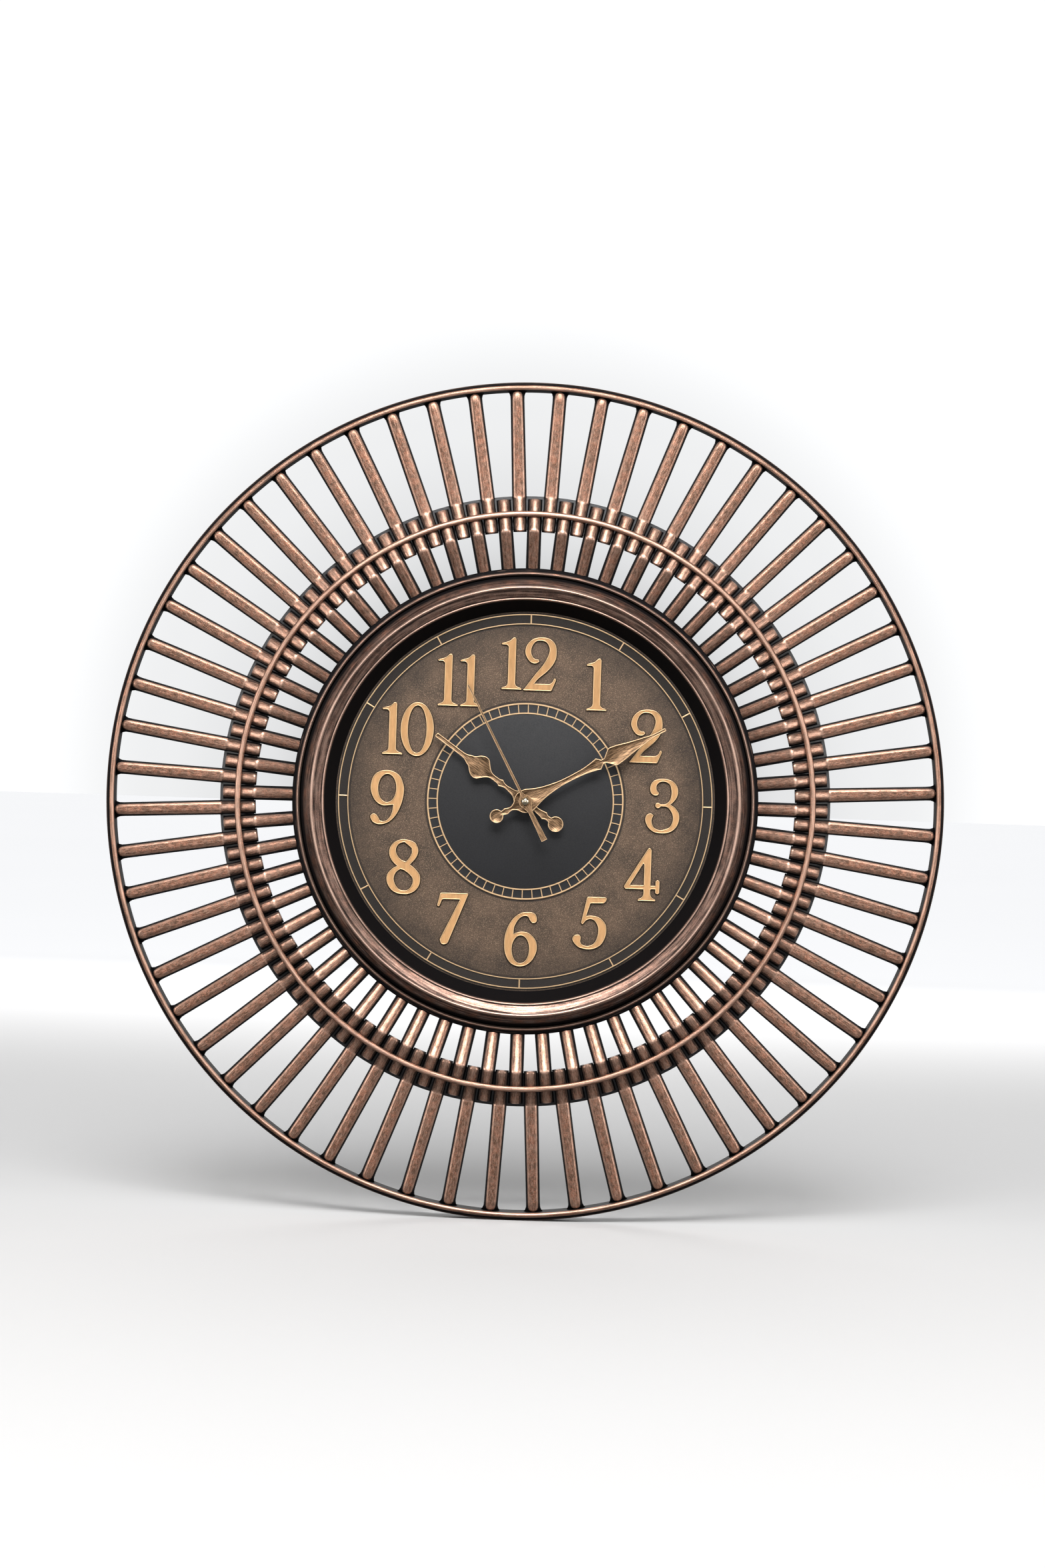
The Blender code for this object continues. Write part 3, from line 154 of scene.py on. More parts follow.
def lathe(shape, profile, steps=ROUND_STEPS, turns=0.06, closed=True, slot=0):
    """Turn a profile of (radius, height, wear, edge) about the dial's axis."""
    rings = []
    length = 0.0
    mean_radius = sum(p[0] for p in profile) / len(profile)
    for index, (radius, height, wear, edge) in enumerate(profile):
        if index:
            length += math.dist(profile[index - 1][:2], (radius, height))
        if radius < 1e-6:
            rings.append([shape.add((0, 0, height), wear, edge, (0, 0, length))] * steps)
            continue
        ring = []
        for step in range(steps):
            angle = 2 * math.pi * step / steps
            across, up = math.cos(angle), math.sin(angle)
            grain = (across * mean_radius * turns, up * mean_radius * turns, length)
            ring.append(shape.add((radius * across, radius * up, height), wear, edge, grain))
        rings.append(ring)
    if closed:
        rings.append(rings[0])
    for lower, upper in zip(rings, rings[1:]):
        for step in range(steps):
            corners = [lower[step - 1], lower[step], upper[step], upper[step - 1]]
            corners = list(dict.fromkeys(corners))
            if len(corners) > 2:
                shape.face(corners, slot)
    return shape


# ---- procedural finishes ----------------------------------------------------------------------------
class Finish:
    """A Principled material with short calls for the nodes that drive it."""

    def __init__(self, name, **sockets):
        self.material = bpy.data.materials.new(name)
        self.material.use_nodes = True
        self.tree = self.material.node_tree
        self.shader = self.tree.nodes["Principled BSDF"]
        for key, value in sockets.items():
            self.shader.inputs[key.replace("_", " ")].default_value = value

    def node(self, kind, inputs=None, **settings):
        made = self.tree.nodes.new(kind)
        for key, value in settings.items():
            setattr(made, key, value)
        for key, value in (inputs or {}).items():
            self.plug(value, made.inputs[key])
        return made

    def plug(self, value, socket):
        if isinstance(value, bpy.types.NodeSocket):
            self.tree.links.new(value, socket)
        else:
            socket.default_value = value

    def attribute(self, name, output="Fac"):
        return self.node("ShaderNodeAttribute", attribute_name=name).outputs[output]

    def place(self):
        """Where a point is on the object, in metres."""
        return self.node("ShaderNodeTexCoord").outputs["Object"]

    def noise(self, vector, scale, detail=3.0, roughness=0.55, stretch=None):
        if stretch:
            vector = self.node("ShaderNodeMapping", {"Vector": vector, "Scale": stretch}).outputs[0]
        inputs = {"Vector": vector, "Scale": scale, "Detail": detail, "Roughness": roughness}
        return self.node("ShaderNodeTexNoise", inputs).outputs["Fac"]

    def ramp(self, value, low, high, start=0.0, stop=1.0):
        """A smooth step of the value between low and high."""
        inputs = {"Value": value, "From Min": low, "From Max": high, "To Min": start, "To Max": stop}
        return self.node("ShaderNodeMapRange", inputs, interpolation_type="SMOOTHSTEP").outputs["Result"]

    def math(self, operation, first, second=0.0):
        made = self.node("ShaderNodeMath", operation=operation)
        self.plug(first, made.inputs[0])
        self.plug(second, made.inputs[1])
        return made.outputs[0]

    def mix(self, factor, first, second):
        made = self.node("ShaderNodeMix", data_type="RGBA")
        self.plug(factor, made.inputs["Factor"])
        for socket, value in ((made.inputs[6], first), (made.inputs[7], second)):
            self.plug((*value, 1.0) if isinstance(value, tuple) else value, socket)
        return made.outputs[2]

    def bump(self, height, distance, strength):
        inputs = {"Height": height, "Distance": distance, "Strength": strength}
        return self.node("ShaderNodeBump", inputs).outputs[0]

    def connect(self, **links):
        for key, value in links.items():
            self.plug(value, self.shader.inputs[key.replace("_", " ")])
        return self.material


def aged_copper(name, light=(0.40, 0.175, 0.110), speckle=(0.105, 0.060, 0.040),
                glint=(0.86, 0.55, 0.42), metallic=0.72, reach=(0.45, 1.05)):
    """Copper paint dry-brushed along a black moulding; raised edges and crowns take the glint colour, partly
    worn paint and partly painted highlight.
    """
    finish = Finish(name, Metallic=metallic, Specular_IOR_Level=0.3)
    grain = finish.attribute("grain", "Vector")
    streak = finish.noise(grain, 1.0, 5.0, 0.62)
    fine = finish.noise(finish.place(), 2100.0, 2.0, 0.7)
    blotch = finish.noise(finish.place(), 260.0, 4.0, 0.6)
    cover = finish.math("ADD", finish.math("MULTIPLY", finish.attribute("wear"), 1.7),
                        finish.math("MULTIPLY", finish.math("SUBTRACT", streak, 0.72), 1.3))
    cover = finish.ramp(cover, *reach)
    mottled = finish.math("ADD", finish.math("MULTIPLY", fine, 0.6), finish.math("MULTIPLY", blotch, 0.4))
    mottled = finish.ramp(mottled, 0.44, 0.62)
    copper = finish.mix(mottled, speckle, light)
    copper = finish.mix(finish.ramp(streak, 0.40, 0.70, 0.0, 0.35), copper, glint)
    # Painted highlight, partly worn paint: the edge attribute lays the glint colour along shoulders, crests
    # and stub tops.
    edge = finish.math("MULTIPLY", finish.attribute("edge"), finish.ramp(streak, 0.30, 0.62, 0.55, 1.0))
    colour = finish.mix(cover, UNPAINTED, copper)
    colour = finish.mix(edge, colour, glint)
    worn_rough = finish.ramp(fine, 0.3, 0.7, 0.44, 0.30)
    rough = finish.ramp(cover, 0.0, 0.6, 0.75, worn_rough)
    relief = finish.math("ADD", finish.math("MULTIPLY", streak, 0.6), finish.math("MULTIPLY", fine, 0.4))
    return finish.connect(Base_Color=colour, Roughness=rough, Normal=finish.bump(relief, 0.00005, 0.22))


def plain_plastic(name, colour, rough, grain_size=2600.0, depth=0.00006, variation=0.25):
    """Moulded plastic with a fine spark texture and slight unevenness of tone."""
    finish = Finish(name)
    fine = finish.noise(finish.place(), grain_size, 2.0, 0.6)
    broad = finish.noise(finish.place(), 30.0, 3.0, 0.5)
    lighter = tuple(min(1.0, c * (1 + variation) + 0.004) for c in colour)
    darker = tuple(c * (1 - variation) for c in colour)
    tone = finish.mix(broad, darker, lighter)
    return finish.connect(Base_Color=tone, Roughness=finish.ramp(fine, 0.3, 0.7, rough - 0.06, rough + 0.08),
                          Normal=finish.bump(fine, depth, 0.5))


def metal(name, colour, rough, streaks=(900.0, 900.0, 60.0)):
    """Plain metal with faint drawing lines and a little tarnish."""
    finish = Finish(name, Metallic=1.0)
    lines = finish.noise(finish.place(), 1.0, 3.0, 0.6, streaks)
    tarnish = finish.noise(finish.place(), 120.0, 3.0, 0.6)
    tone = finish.mix(finish.ramp(tarnish, 0.35, 0.7), tuple(c * 0.72 for c in colour), colour)
    return finish.connect(Base_Color=tone, Roughness=finish.ramp(lines, 0.3, 0.7, rough - 0.08, rough + 0.1),
                          Normal=finish.bump(lines, 0.00003, 0.4))


def dial_brown():
    """The mottled dark bronze ground of the dial, with painted shade beside its two track rings and towards
    its rim.
    """
    finish = Finish("dial_brown", Metallic=0.2)
    flat = finish.node("ShaderNodeVectorMath", {0: finish.place(), 1: (1.0, 0.0, 1.0)}, operation="MULTIPLY")
    radius = finish.node("ShaderNodeVectorMath", {0: flat.outputs[0]}, operation="LENGTH").outputs["Value"]
    fine = finish.noise(finish.place(), 1900.0, 3.0, 0.7)
    cloud = finish.noise(finish.place(), 75.0, 5.0, 0.6)
    ground = finish.mix(finish.ramp(cloud, 0.25, 0.75), (0.050, 0.032, 0.021), (0.112, 0.071, 0.045))
    speck = finish.ramp(fine, 0.50, 0.68)
    colour = finish.mix(finish.math("MULTIPLY", speck, 0.55), ground, (0.42, 0.29, 0.19))
    colour = finish.mix(finish.ramp(fine, 0.30, 0.46, 0.6, 0.0), colour, (0.030, 0.022, 0.017))
    # Painted shade: darker towards the rim inside the bezel's recess, and in thin lines at the foot of the
    # two raised tracks.
    shade = finish.ramp(radius, 0.088, 0.107, 0.0, 0.45)
    for ring in DIAL_SHADE_LINES:
        away = finish.math("ABSOLUTE", finish.math("SUBTRACT", radius, ring))
        shade = finish.math("MAXIMUM", shade, finish.ramp(away, 0.0003, 0.0008, 0.85, 0.0))
    colour = finish.mix(shade, colour, (0.012, 0.008, 0.006))
    return finish.connect(Base_Color=colour, Roughness=finish.ramp(fine, 0.3, 0.7, 0.48, 0.66),
                          Normal=finish.bump(fine, 0.00012, 0.6))


def figure_gold(name, face, border, rough):
    """Gold paint on the raised figures and rings: brushed face, a paler border of rubbed paint and painted
    highlight, and a dark foot of painted contact shadow.
    """
    finish = Finish(name, Metallic=0.85)
    brushed = finish.noise(finish.place(), 1.0, 3.0, 0.6, (420.0, 420.0, 90.0))
    fine = finish.noise(finish.place(), 1800.0, 2.0, 0.6)
    face_tone = finish.mix(finish.ramp(brushed, 0.3, 0.7), tuple(c * 0.80 for c in face), face)
    # The edge attribute gives the border colour to the crest of the raised border: rubbed paint and painted
    # highlight.
    colour = finish.mix(finish.attribute("edge"), face_tone, border)
    # Low wear gives dark brown down the sides and over the foot; on the foot it is a painted contact shadow.
    colour = finish.mix(finish.ramp(finish.attribute("wear"), 0.0, 0.75), (0.035, 0.022, 0.014), colour)
    return finish.connect(Base_Color=colour, Roughness=finish.ramp(fine, 0.3, 0.7, rough - 0.06, rough + 0.1),
                          Normal=finish.bump(fine, 0.00005, 0.4))


def hand_bronze():
    """Brushed antique bronze with a wood-like grain along the hand and rubbed edges."""
    finish = Finish("hand_bronze", Metallic=0.8)
    grain = finish.noise(finish.attribute("grain", "Vector"), 1.0, 5.0, 0.65)
    fine = finish.noise(finish.place(), 1800.0, 2.0, 0.6)
    body = finish.mix(finish.ramp(grain, 0.36, 0.66), (0.040, 0.024, 0.014), (0.46, 0.28, 0.155))
    colour = finish.mix(finish.attribute("edge"), body, (0.84, 0.58, 0.34))
    colour = finish.mix(finish.ramp(finish.attribute("wear"), 0.0, 0.6), (0.05, 0.034, 0.022), colour)
    return finish.connect(Base_Color=colour, Roughness=finish.ramp(fine, 0.3, 0.7, 0.30, 0.45),
                          Normal=finish.bump(grain, 0.00008, 0.5))


def battery_label():
    """A plain printed sleeve, with a copper-coloured band at the positive end and bare steel ends."""
    finish = Finish("battery_label", Roughness=0.3)
    low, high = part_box("battery")
    split = finish.node("ShaderNodeSeparateXYZ", {"Vector": finish.place()})
    length = high.x - low.x
    band = finish.ramp(split.outputs["X"], low.x + 0.700 * length, low.x + 0.705 * length)
    away = finish.math("ABSOLUTE", finish.math("SUBTRACT", split.outputs["X"], (low.x + high.x) / 2))
    end = finish.ramp(away, 0.462 * length, 0.466 * length)
    scuff = finish.noise(finish.place(), 900.0, 3.0, 0.6)
    sleeve = finish.mix(scuff, (0.030, 0.065, 0.13), (0.050, 0.100, 0.19))
    colour = finish.mix(end, finish.mix(band, sleeve, (0.55, 0.28, 0.14)), (0.62, 0.62, 0.63))
    metallic = finish.math("MAXIMUM", finish.math("MULTIPLY", band, 0.6), end)
    return finish.connect(Base_Color=colour, Metallic=metallic, Normal=finish.bump(scuff, 0.00002, 0.3))


COPPER = aged_copper("aged_copper")
BEZEL = aged_copper("aged_bronze", light=(0.31, 0.165, 0.120), speckle=(0.090, 0.055, 0.044),
                    glint=(0.74, 0.51, 0.41), metallic=0.8, reach=(0.28, 0.98))
DIAL = dial_brown()
DIAL_BLACK = plain_plastic("dial_black", (0.008, 0.0085, 0.011), 0.66, 2200.0, 0.00008)
TRACK_DARK = plain_plastic("track_dark", (0.012, 0.008, 0.006), 0.75)
GOLD = figure_gold("figure_gold", (0.62, 0.355, 0.165), (0.84, 0.60, 0.35), rough=0.34)
RING_GOLD = figure_gold("ring_gold", (0.58, 0.38, 0.21), (0.78, 0.55, 0.33), rough=0.42)
BRONZE = hand_bronze()
CAP_GOLD = metal("cap_gold", (0.86, 0.74, 0.54), 0.22)
BLACK = plain_plastic("black_plastic", (0.032, 0.032, 0.035), 0.44)
MILKY = plain_plastic("gear_plastic", (0.72, 0.71, 0.66), 0.42, variation=0.06)
BRASS = metal("brass", (0.74, 0.55, 0.27), 0.28)
STEEL = metal("steel", (0.60, 0.60, 0.62), 0.32)
WIRE = metal("copper_wire", (0.62, 0.27, 0.13), 0.4, (60.0, 2400.0, 60.0))
BOARD = plain_plastic("board_green", (0.03, 0.16, 0.07), 0.4)
RUBBER = plain_plastic("rubber", (0.025, 0.025, 0.026), 0.8)
LABEL = battery_label()


# ---- rays ------------------------------------------------------------------------------------------
def ray_section(face, foot, top, bottom, crown):
    """Half of a ray's section, middle of the face to the foot: (side, height, wear, edge)."""
    # The edge column puts painted highlight, partly worn paint, on the shoulders of a flat face and along the
    # middle of a crowned stub.
    return [
        (0.0, top, 0.86, 0.55 * crown),
        (face * 0.30, top - 0.02 - 0.12 * crown, 0.88, 0.30 * crown),
        (face * 0.58, top - 0.08 - 0.42 * crown, 0.92 - 0.20 * crown, 0.05),
        (face * 0.80, top - 0.40 - 0.67 * crown, 1.0 - 0.75 * crown, 0.45 * (1 - crown)),
        (face * 0.94, top - 0.85 - 0.81 * crown, 0.95 - 1.05 * crown, 0.70 * (1 - crown)),
        (face + 0.12, top - 1.35 - 0.90 * crown, 0.12, 0.0),
        (face + 0.38, top - 1.90 - 0.90 * crown, 0.02, 0.0),
        (foot, bottom, 0.0, 0.0),
    ]


def rays(name, first_angle, stations, node):
    """Sixty rays through stations of (radius, top, bottom, foot, face, crown, edge boost); the boost is
    rubbed paint and painted highlight.
    """
    shape = Shape()
    draw = np.random.default_rng(7)
    for ray in range(RAY_COUNT):
        angle = first_angle + ray * RAY_PITCH
        ax, ay = math.cos(angle), math.sin(angle)
        seed = draw.uniform(0, 400)
        tone = draw.uniform(-0.06, 0.06)
        sections = []
        for radius, top, bottom, foot, face, crown, rub_and_highlight in stations:
            half = ray_section(face, foot, top, bottom, crown)
            around = [(-s, h, w, e) for s, h, w, e in reversed(half[1:])] + half
            ring = []
            for side, height, wear, edge in around:
                point = (ax * radius - ay * side, ay * radius + ax * side, height)
                grain = (seed + side * 1.9, radius * 0.34, seed * 0.37)
                worn = 0.0 if wear < 0.2 else wear + tone
                ring.append(shape.add(point, worn, min(1.0, edge + rub_and_highlight * (wear > 0.5)), grain))
            sections.append(ring)
        for near, far in zip(sections, sections[1:]):
            for corner in range(len(near)):
                shape.face([near[corner - 1], near[corner], far[corner], far[corner - 1]])
        shape.face(list(sections[0]))
        shape.face(list(reversed(sections[-1])))
    return build(name, shape, "clock_frame", [node], [COPPER], 50)


RIDGE_RADIUS, RIDGE_TOP = 163.4, 34.0
VALLEY_RADIUS, VALLEY_TOP = 184.2, 24.4


def slope(radius):
    """Front of the band of stubs between the ridge and the valley."""
    return RIDGE_TOP + (VALLEY_TOP - RIDGE_TOP) * (radius - RIDGE_RADIUS) / (VALLEY_RADIUS - RIDGE_RADIUS)


def outer_stations():
    """Stub rising to its round end, the kink, the long flat face, and the hipped end at the rim."""
    rows = []
    # The last column of a stub row adds rubbed paint and painted highlight round the stub's end.
    stub = ((162.7, 2.6, 0.62, 0.0), (162.9, 1.3, 0.80, 0.3), (163.5, 0.45, 0.94, 0.6),
            (164.6, 0.1, 1.0, 0.2), (168.0, 0.0, 1.0, 0.0), (176.0, 0.0, 1.0, 0.0),
            (182.6, 0.0, 1.0, 0.0), (183.9, 0.05, 1.0, 0.15))
    for radius, drop, squeeze, rub_and_highlight in stub:
        face = (3.15 + (radius - 163.0) * 0.016) * squeeze
        top = slope(radius) - drop + 0.25
        rows.append((radius, top, slope(radius) - 4.4, 4.05, face, 0.75, rub_and_highlight))
    # The last column lays rubbed paint and painted highlight across the kink and the hipped end.
    for radius, top, face, crown, rub_and_highlight in ((184.7, 24.55, 3.45, 0.10, 0.45), (185.6, 24.5, 3.5, 0.0, 0.05),
                                            (205.0, 24.3, 3.38, 0.0, 0.0), (225.0, 24.1, 3.22, 0.0, 0.0),
                                            (243.5, 23.95, 3.08, 0.0, 0.0), (246.2, 23.9, 2.9, 0.08, 0.1),
                                            (247.6, 23.6, 2.45, 0.2, 0.25), (248.35, 23.1, 1.75, 0.3, 0.1),
                                            (248.75, 22.3, 0.95, 0.3, 0.0)):
        foot = 4.45 - 0.004 * (radius - 184.0) + max(0.0, radius - 245.0) ** 2 * 0.09
        rows.append((radius, top, top - 5.0, foot, face, crown, rub_and_highlight))
    rows.append((249.6, 20.4, 18.2, 6.4, 0.6, 0.3, 0.0))
    return rows


def inner_stations():
    """Slope up from the hub to the kink at the ridge, then the stub down to its end at the valley."""
    rows = []
    # The last columns lay rubbed paint and painted highlight on the kink at the ridge and round the stub's
    # end.
    for radius, top, face, crown, rub_and_highlight in ((139.4, 24.3, 2.75, 0.40, 0.0), (141.6, 25.1, 2.85, 0.40, 0.0),
                                            (150.0, 28.5, 2.98, 0.40, 0.0), (158.0, 31.8, 3.1, 0.40, 0.0),
                                            (161.9, 33.5, 3.15, 0.42, 0.1), (163.0, 34.0, 3.15, 0.45, 0.75),
                                            (163.9, 34.1, 3.15, 0.75, 0.65)):
        rows.append((radius, top, top - 5.0, 4.35, face, crown, rub_and_highlight))
    stub = ((165.0, 0.0, 1.0, 0.1), (172.0, 0.0, 1.0, 0.0), (180.0, 0.0, 1.0, 0.0), (181.8, 0.1, 1.0, 0.15),
            (182.8, 0.45, 0.94, 0.55), (183.3, 1.3, 0.80, 0.2), (183.5, 2.6, 0.62, 0.0))
    for radius, drop, squeeze, rub_and_highlight in stub:
        face = (3.15 + (radius - 163.0) * 0.012) * squeeze
        rows.append((radius, slope(radius) - drop + 0.25, slope(radius) - 5.0, 4.35, face, 0.75, rub_and_highlight))
    return rows


rays("outer_rays", RAY_PITCH / 2, outer_stations(), "outer_sunburst")
rays("inner_rays", 0.0, inner_stations(), "inner_sunburst")

# ---- rings of the frame ---------------------------------------------------------------------------
# The edge column paints a bright line along the rim's front crest, partly worn copper and partly painted
# highlight.
rim = lathe(Shape(), soften([
    (249.2, 11.0, 0.0, 0.0), (249.15, 23.2, 0.05, 0.0), (249.35, 24.7, 0.75, 0.5), (250.0, 25.3, 1.0, 0.75),
    (250.9, 25.35, 0.95, 0.15), (251.7, 24.95, 0.85, 0.1), (252.2, 24.1, 0.4, 0.0), (252.5, 23.4, 0.0, 0.0),
    (253.3, 23.2, 0.30, 0.0), (254.0, 22.5, 0.42, 0.2), (254.0, 17.0, 0.22, 0.0), (254.0, 11.0, 0.15, 0.0),
]), 360, 0.07)
build("rim", rim, "clock_frame", ["outer_sunburst"], [COPPER])

# The edge column paints a bright line on the collar's bead, partly worn copper and partly painted highlight.
collar = lathe(Shape(), soften([
    (128.4, 18.6, 0, 0), (141.2, 18.6, 0, 0), (141.2, 24.6, 0.1, 0), (140.4, 25.5, 0.35, 0.0),
    (138.9, 25.8, 0.25, 0.0), (138.45, 26.6, 0.7, 0.5), (137.8, 27.3, 1.0, 1.0), (137.15, 26.6, 0.7, 0.5),
    (136.7, 25.4, 0.0, 0), (136.6, 21.6, 0, 0), (128.4, 21.6, 0, 0),
], 0.3), 360, 0.07)
build("hub_collar", collar, "clock_frame", ["inner_sunburst"], [BEZEL])

# The edge column paints a bright line along the hoop's front crown, partly worn copper and partly painted
# highlight.
mid = []
for step in range(13):
    turn = math.radians(-38 + 208 * step / 12)
    lean = turn - math.radians(8)
    mid.append((HOOP_RADIUS + 1.85 * math.cos(lean), slope(HOOP_RADIUS) + 1.15 + 1.75 * math.sin(lean),
                0.55 + 0.45 * math.sin(max(turn, 0.0)), max(0.0, math.sin(turn)) ** 6 * 0.75))
mid = [(175.3, slope(175.3) + 0.3, 0.0, 0.0)] + mid + [(171.9, slope(171.9) + 0.3, 0.0, 0.0)]
build("mid_hoop", lathe(Shape(), mid, 360, 0.07), "clock_frame", ["mid_ring"], [COPPER])

backing = lathe(Shape(), soften([
    (BACKING_INNER, slope(BACKING_INNER) - 7.1, 0, 0), (BACKING_OUTER, slope(BACKING_OUTER) - 7.1, 0, 0),
    (BACKING_OUTER, slope(BACKING_OUTER) - 5.3, 0, 0), (BACKING_INNER, slope(BACKING_INNER) - 5.3, 0, 0),
]), 180)
build("backing_cone", backing, "clock_frame", ["backing_ring"], [BLACK])

# The edge column paints bright lines on the crest and the lip, partly worn copper and partly painted
# highlight.
bezel = lathe(Shape(), soften([
    (114.8, 22.8, 0.0, 0), (128.0, 22.8, 0, 0), (128.0, 21.9, 0, 0), (136.2, 21.9, 0, 0),
    (136.2, 24.6, 0.05, 0), (135.7, 26.9, 0.12, 0), (134.6, 28.4, 0.22, 0.0), (133.9, 30.0, 0.45, 0.1),
    (133.4, 32.4, 0.55, 0.0), (132.4, 34.6, 0.60, 0.0), (131.1, 36.2, 0.62, 0.05), (130.0, 37.1, 0.50, 0.0),
    (129.5, 37.5, 0.7, 0.35), (128.9, 38.0, 1.0, 1.0), (128.2, 37.8, 0.9, 0.55), (127.7, 37.2, 0.45, 0.0),
    (126.2, 36.5, 0.62, 0.05), (124.6, 35.8, 0.72, 0.08), (123.3, 35.2, 0.6, 0.0), (122.8, 34.9, 0.15, 0.0),
    (122.55, 35.3, 0.9, 0.6), (122.1, 35.5, 1.0, 0.8), (121.6, 35.1, 0.7, 0.3), (121.1, 34.0, 0.12, 0.0),
    (118.2, 28.6, 0.14, 0.0), (115.4, 23.6, 0.18, 0.0),
], 0.4), 360, 0.05)
build("bezel_ring", bezel, "clock_frame", ["bezel"], [BEZEL])


# ---- dial tracks ----------------------------------------------------------------------------------
def bead(inner, outer, foot, top):
    """A low rounded ring lying on the dial."""
    middle, half = (inner + outer) / 2, (outer - inner) / 2
    # The crown carries the edge value, a painted highlight in the ring's border colour, partly rubbed paint.
    return [(outer, foot, 0.0, 0.0), (outer, (foot + top) / 2, 0.5, 0.0),
            (middle + half * 0.6, top - 0.03, 1.0, 0.5), (middle, top, 1.0, 1.0),
            (middle - half * 0.6, top - 0.03, 1.0, 0.5), (inner, (foot + top) / 2, 0.5, 0.0),
            (inner, foot, 0.0, 0.0)]


def ticks(shape, count, inner, outer, half_width, foot, top, slot):
    """Short radial bars between two rings."""
    # The tops carry the edge value, a painted highlight in the ring's border colour, partly rubbed paint.
    section = ((-half_width, foot, 0, 0), (-half_width, top - 0.12, 0.6, 0),
               (-half_width * 0.5, top, 1, 0.8), (half_width * 0.5, top, 1, 0.8),
               (half_width, top - 0.12, 0.6, 0), (half_width, foot, 0, 0))
    for index in range(count):
        angle = 2 * math.pi * index / count
        ax, ay = math.cos(angle), math.sin(angle)
        corners = []
        for radius in (inner, outer):
            row = []
            for side, height, wear, edge in section:
                row.append(shape.add((ax * radius - ay * side, ay * radius + ax * side, height), wear, edge))
            corners.append(row)
        near, far = corners
        for corner in range(len(near)):
            shape.face([near[corner], near[corner - 1], far[corner - 1], far[corner]], slot)
        shape.face(list(reversed(near)), slot)
        shape.face(list(far), slot)


hour_track = lathe(Shape(), [(106.9, DIAL_TOP - 0.2, 0, 0), (114.2, DIAL_TOP - 0.2, 0, 0),
                             (114.2, DIAL_TOP + 0.06, 0, 0), (106.9, DIAL_TOP + 0.06, 0, 0)], 240)
lathe(hour_track, bead(112.8, 113.6, DIAL_TOP, DIAL_TOP + 0.6), 240, slot=1)
lathe(hour_track, bead(107.2, 107.95, DIAL_TOP, DIAL_TOP + 0.6), 240, slot=1)
ticks(hour_track, 12, 108.0, 112.9, 0.42, DIAL_TOP, DIAL_TOP + 0.55, 1)
build("hour_track_rings", hour_track, "clock_frame", ["hour_track"],
      [TRACK_DARK, RING_GOLD])

minute_track = lathe(Shape(), [(4.4, DIAL_TOP - 0.2, 0, 0), (59.8, DIAL_TOP - 0.2, 0, 0),
                               (59.8, DIAL_TOP + 0.05, 0, 0), (53.2, DIAL_TOP + 0.05, 0, 0),
                               (52.9, DIAL_TOP + 0.2, 0, 0), (4.4, DIAL_TOP + 0.2, 0, 0)], 180, slot=0)
lathe(minute_track, bead(58.6, 59.7, DIAL_TOP, DIAL_TOP + 0.55), 180, slot=1)
lathe(minute_track, bead(52.9, 53.9, DIAL_TOP, DIAL_TOP + 0.55), 180, slot=1)
ticks(minute_track, 60, 53.8, 58.7, 0.28, DIAL_TOP, DIAL_TOP + 0.45, 1)
build("minute_track_rings", minute_track, "clock_frame", ["minute_track"],
      [DIAL_BLACK, RING_GOLD])


# ---- raised figures and hands -----------------------------------------------------------------------
def front_outlines(node):
    """The outlines of a flat CAD node's front face, and the heights of its back and front."""
    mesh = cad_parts[node].data
    places = [(v.co.x / MM, v.co.z / MM, -v.co.y / MM) for v in mesh.vertices]
    keys = [(round(x, 3), round(y, 3)) for x, y, _ in places]
    front = max(z for _, _, z in places)
    back = min(z for _, _, z in places)
    directed = set()
    for face in mesh.polygons:
        corners = list(face.vertices)
        if all(places[c][2] > front - 0.01 for c in corners):
            for start, stop in zip(corners, corners[1:] + corners[:1]):
                directed.add((keys[start], keys[stop]))
    follow = {start: stop for start, stop in directed if (stop, start) not in directed}
    loops = []
    while follow:
        start, here = follow.popitem()
        loop = [start]
        while here != start:
            loop.append(here)
            here = follow.pop(here)
        loops.append(np.array(loop))
    return loops, back, front


def smooth_outline(loop, corner=48.0, spacing=0.35):
    """A fine curve through an outline's points that keeps its real corners."""
    count = len(loop)
    ahead = np.roll(loop, -1, 0) - loop
    behind = loop - np.roll(loop, 1, 0)
    cross = behind[:, 0] * ahead[:, 1] - behind[:, 1] * ahead[:, 0]
    turn = np.degrees(np.arctan2(cross, (behind * ahead).sum(1)))
    sharp = np.abs(turn) > corner
    lengths = np.linalg.norm(ahead, axis=1)
    result = []
    for index in range(count):
        after = (index + 1) % count
        start, stop = loop[index], loop[after]
        length = lengths[index]
        unit = ahead[index] / length
        directions = []
        for place in (index, after):
            if sharp[place]:
                directions.append(unit)
                continue
            tangent = behind[place] + ahead[place]
            if lengths[place] > 2.0 * lengths[place - 1]:
                tangent = ahead[place]
            elif lengths[place - 1] > 2.0 * lengths[place]:
                tangent = behind[place]
            directions.append(tangent / np.linalg.norm(tangent))
        steps = max(1, int(round(length / spacing)))
        for step in range(steps):
            t = step / steps
            result.append(start * (2 * t**3 - 3 * t**2 + 1) + directions[0] * length * (t**3 - 2 * t**2 + t)
                          + stop * (3 * t**2 - 2 * t**3) + directions[1] * length * (t**3 - t**2))
    return np.array(result)


def inward(loop):
    """Unit normals to the left of an outline, which is into the material."""
    along = np.roll(loop, -1, 0) - np.roll(loop, 1, 0)
    along /= np.maximum(np.linalg.norm(along, axis=1, keepdims=True), 1e-9)
    return np.stack([-along[:, 1], along[:, 0]], 1)


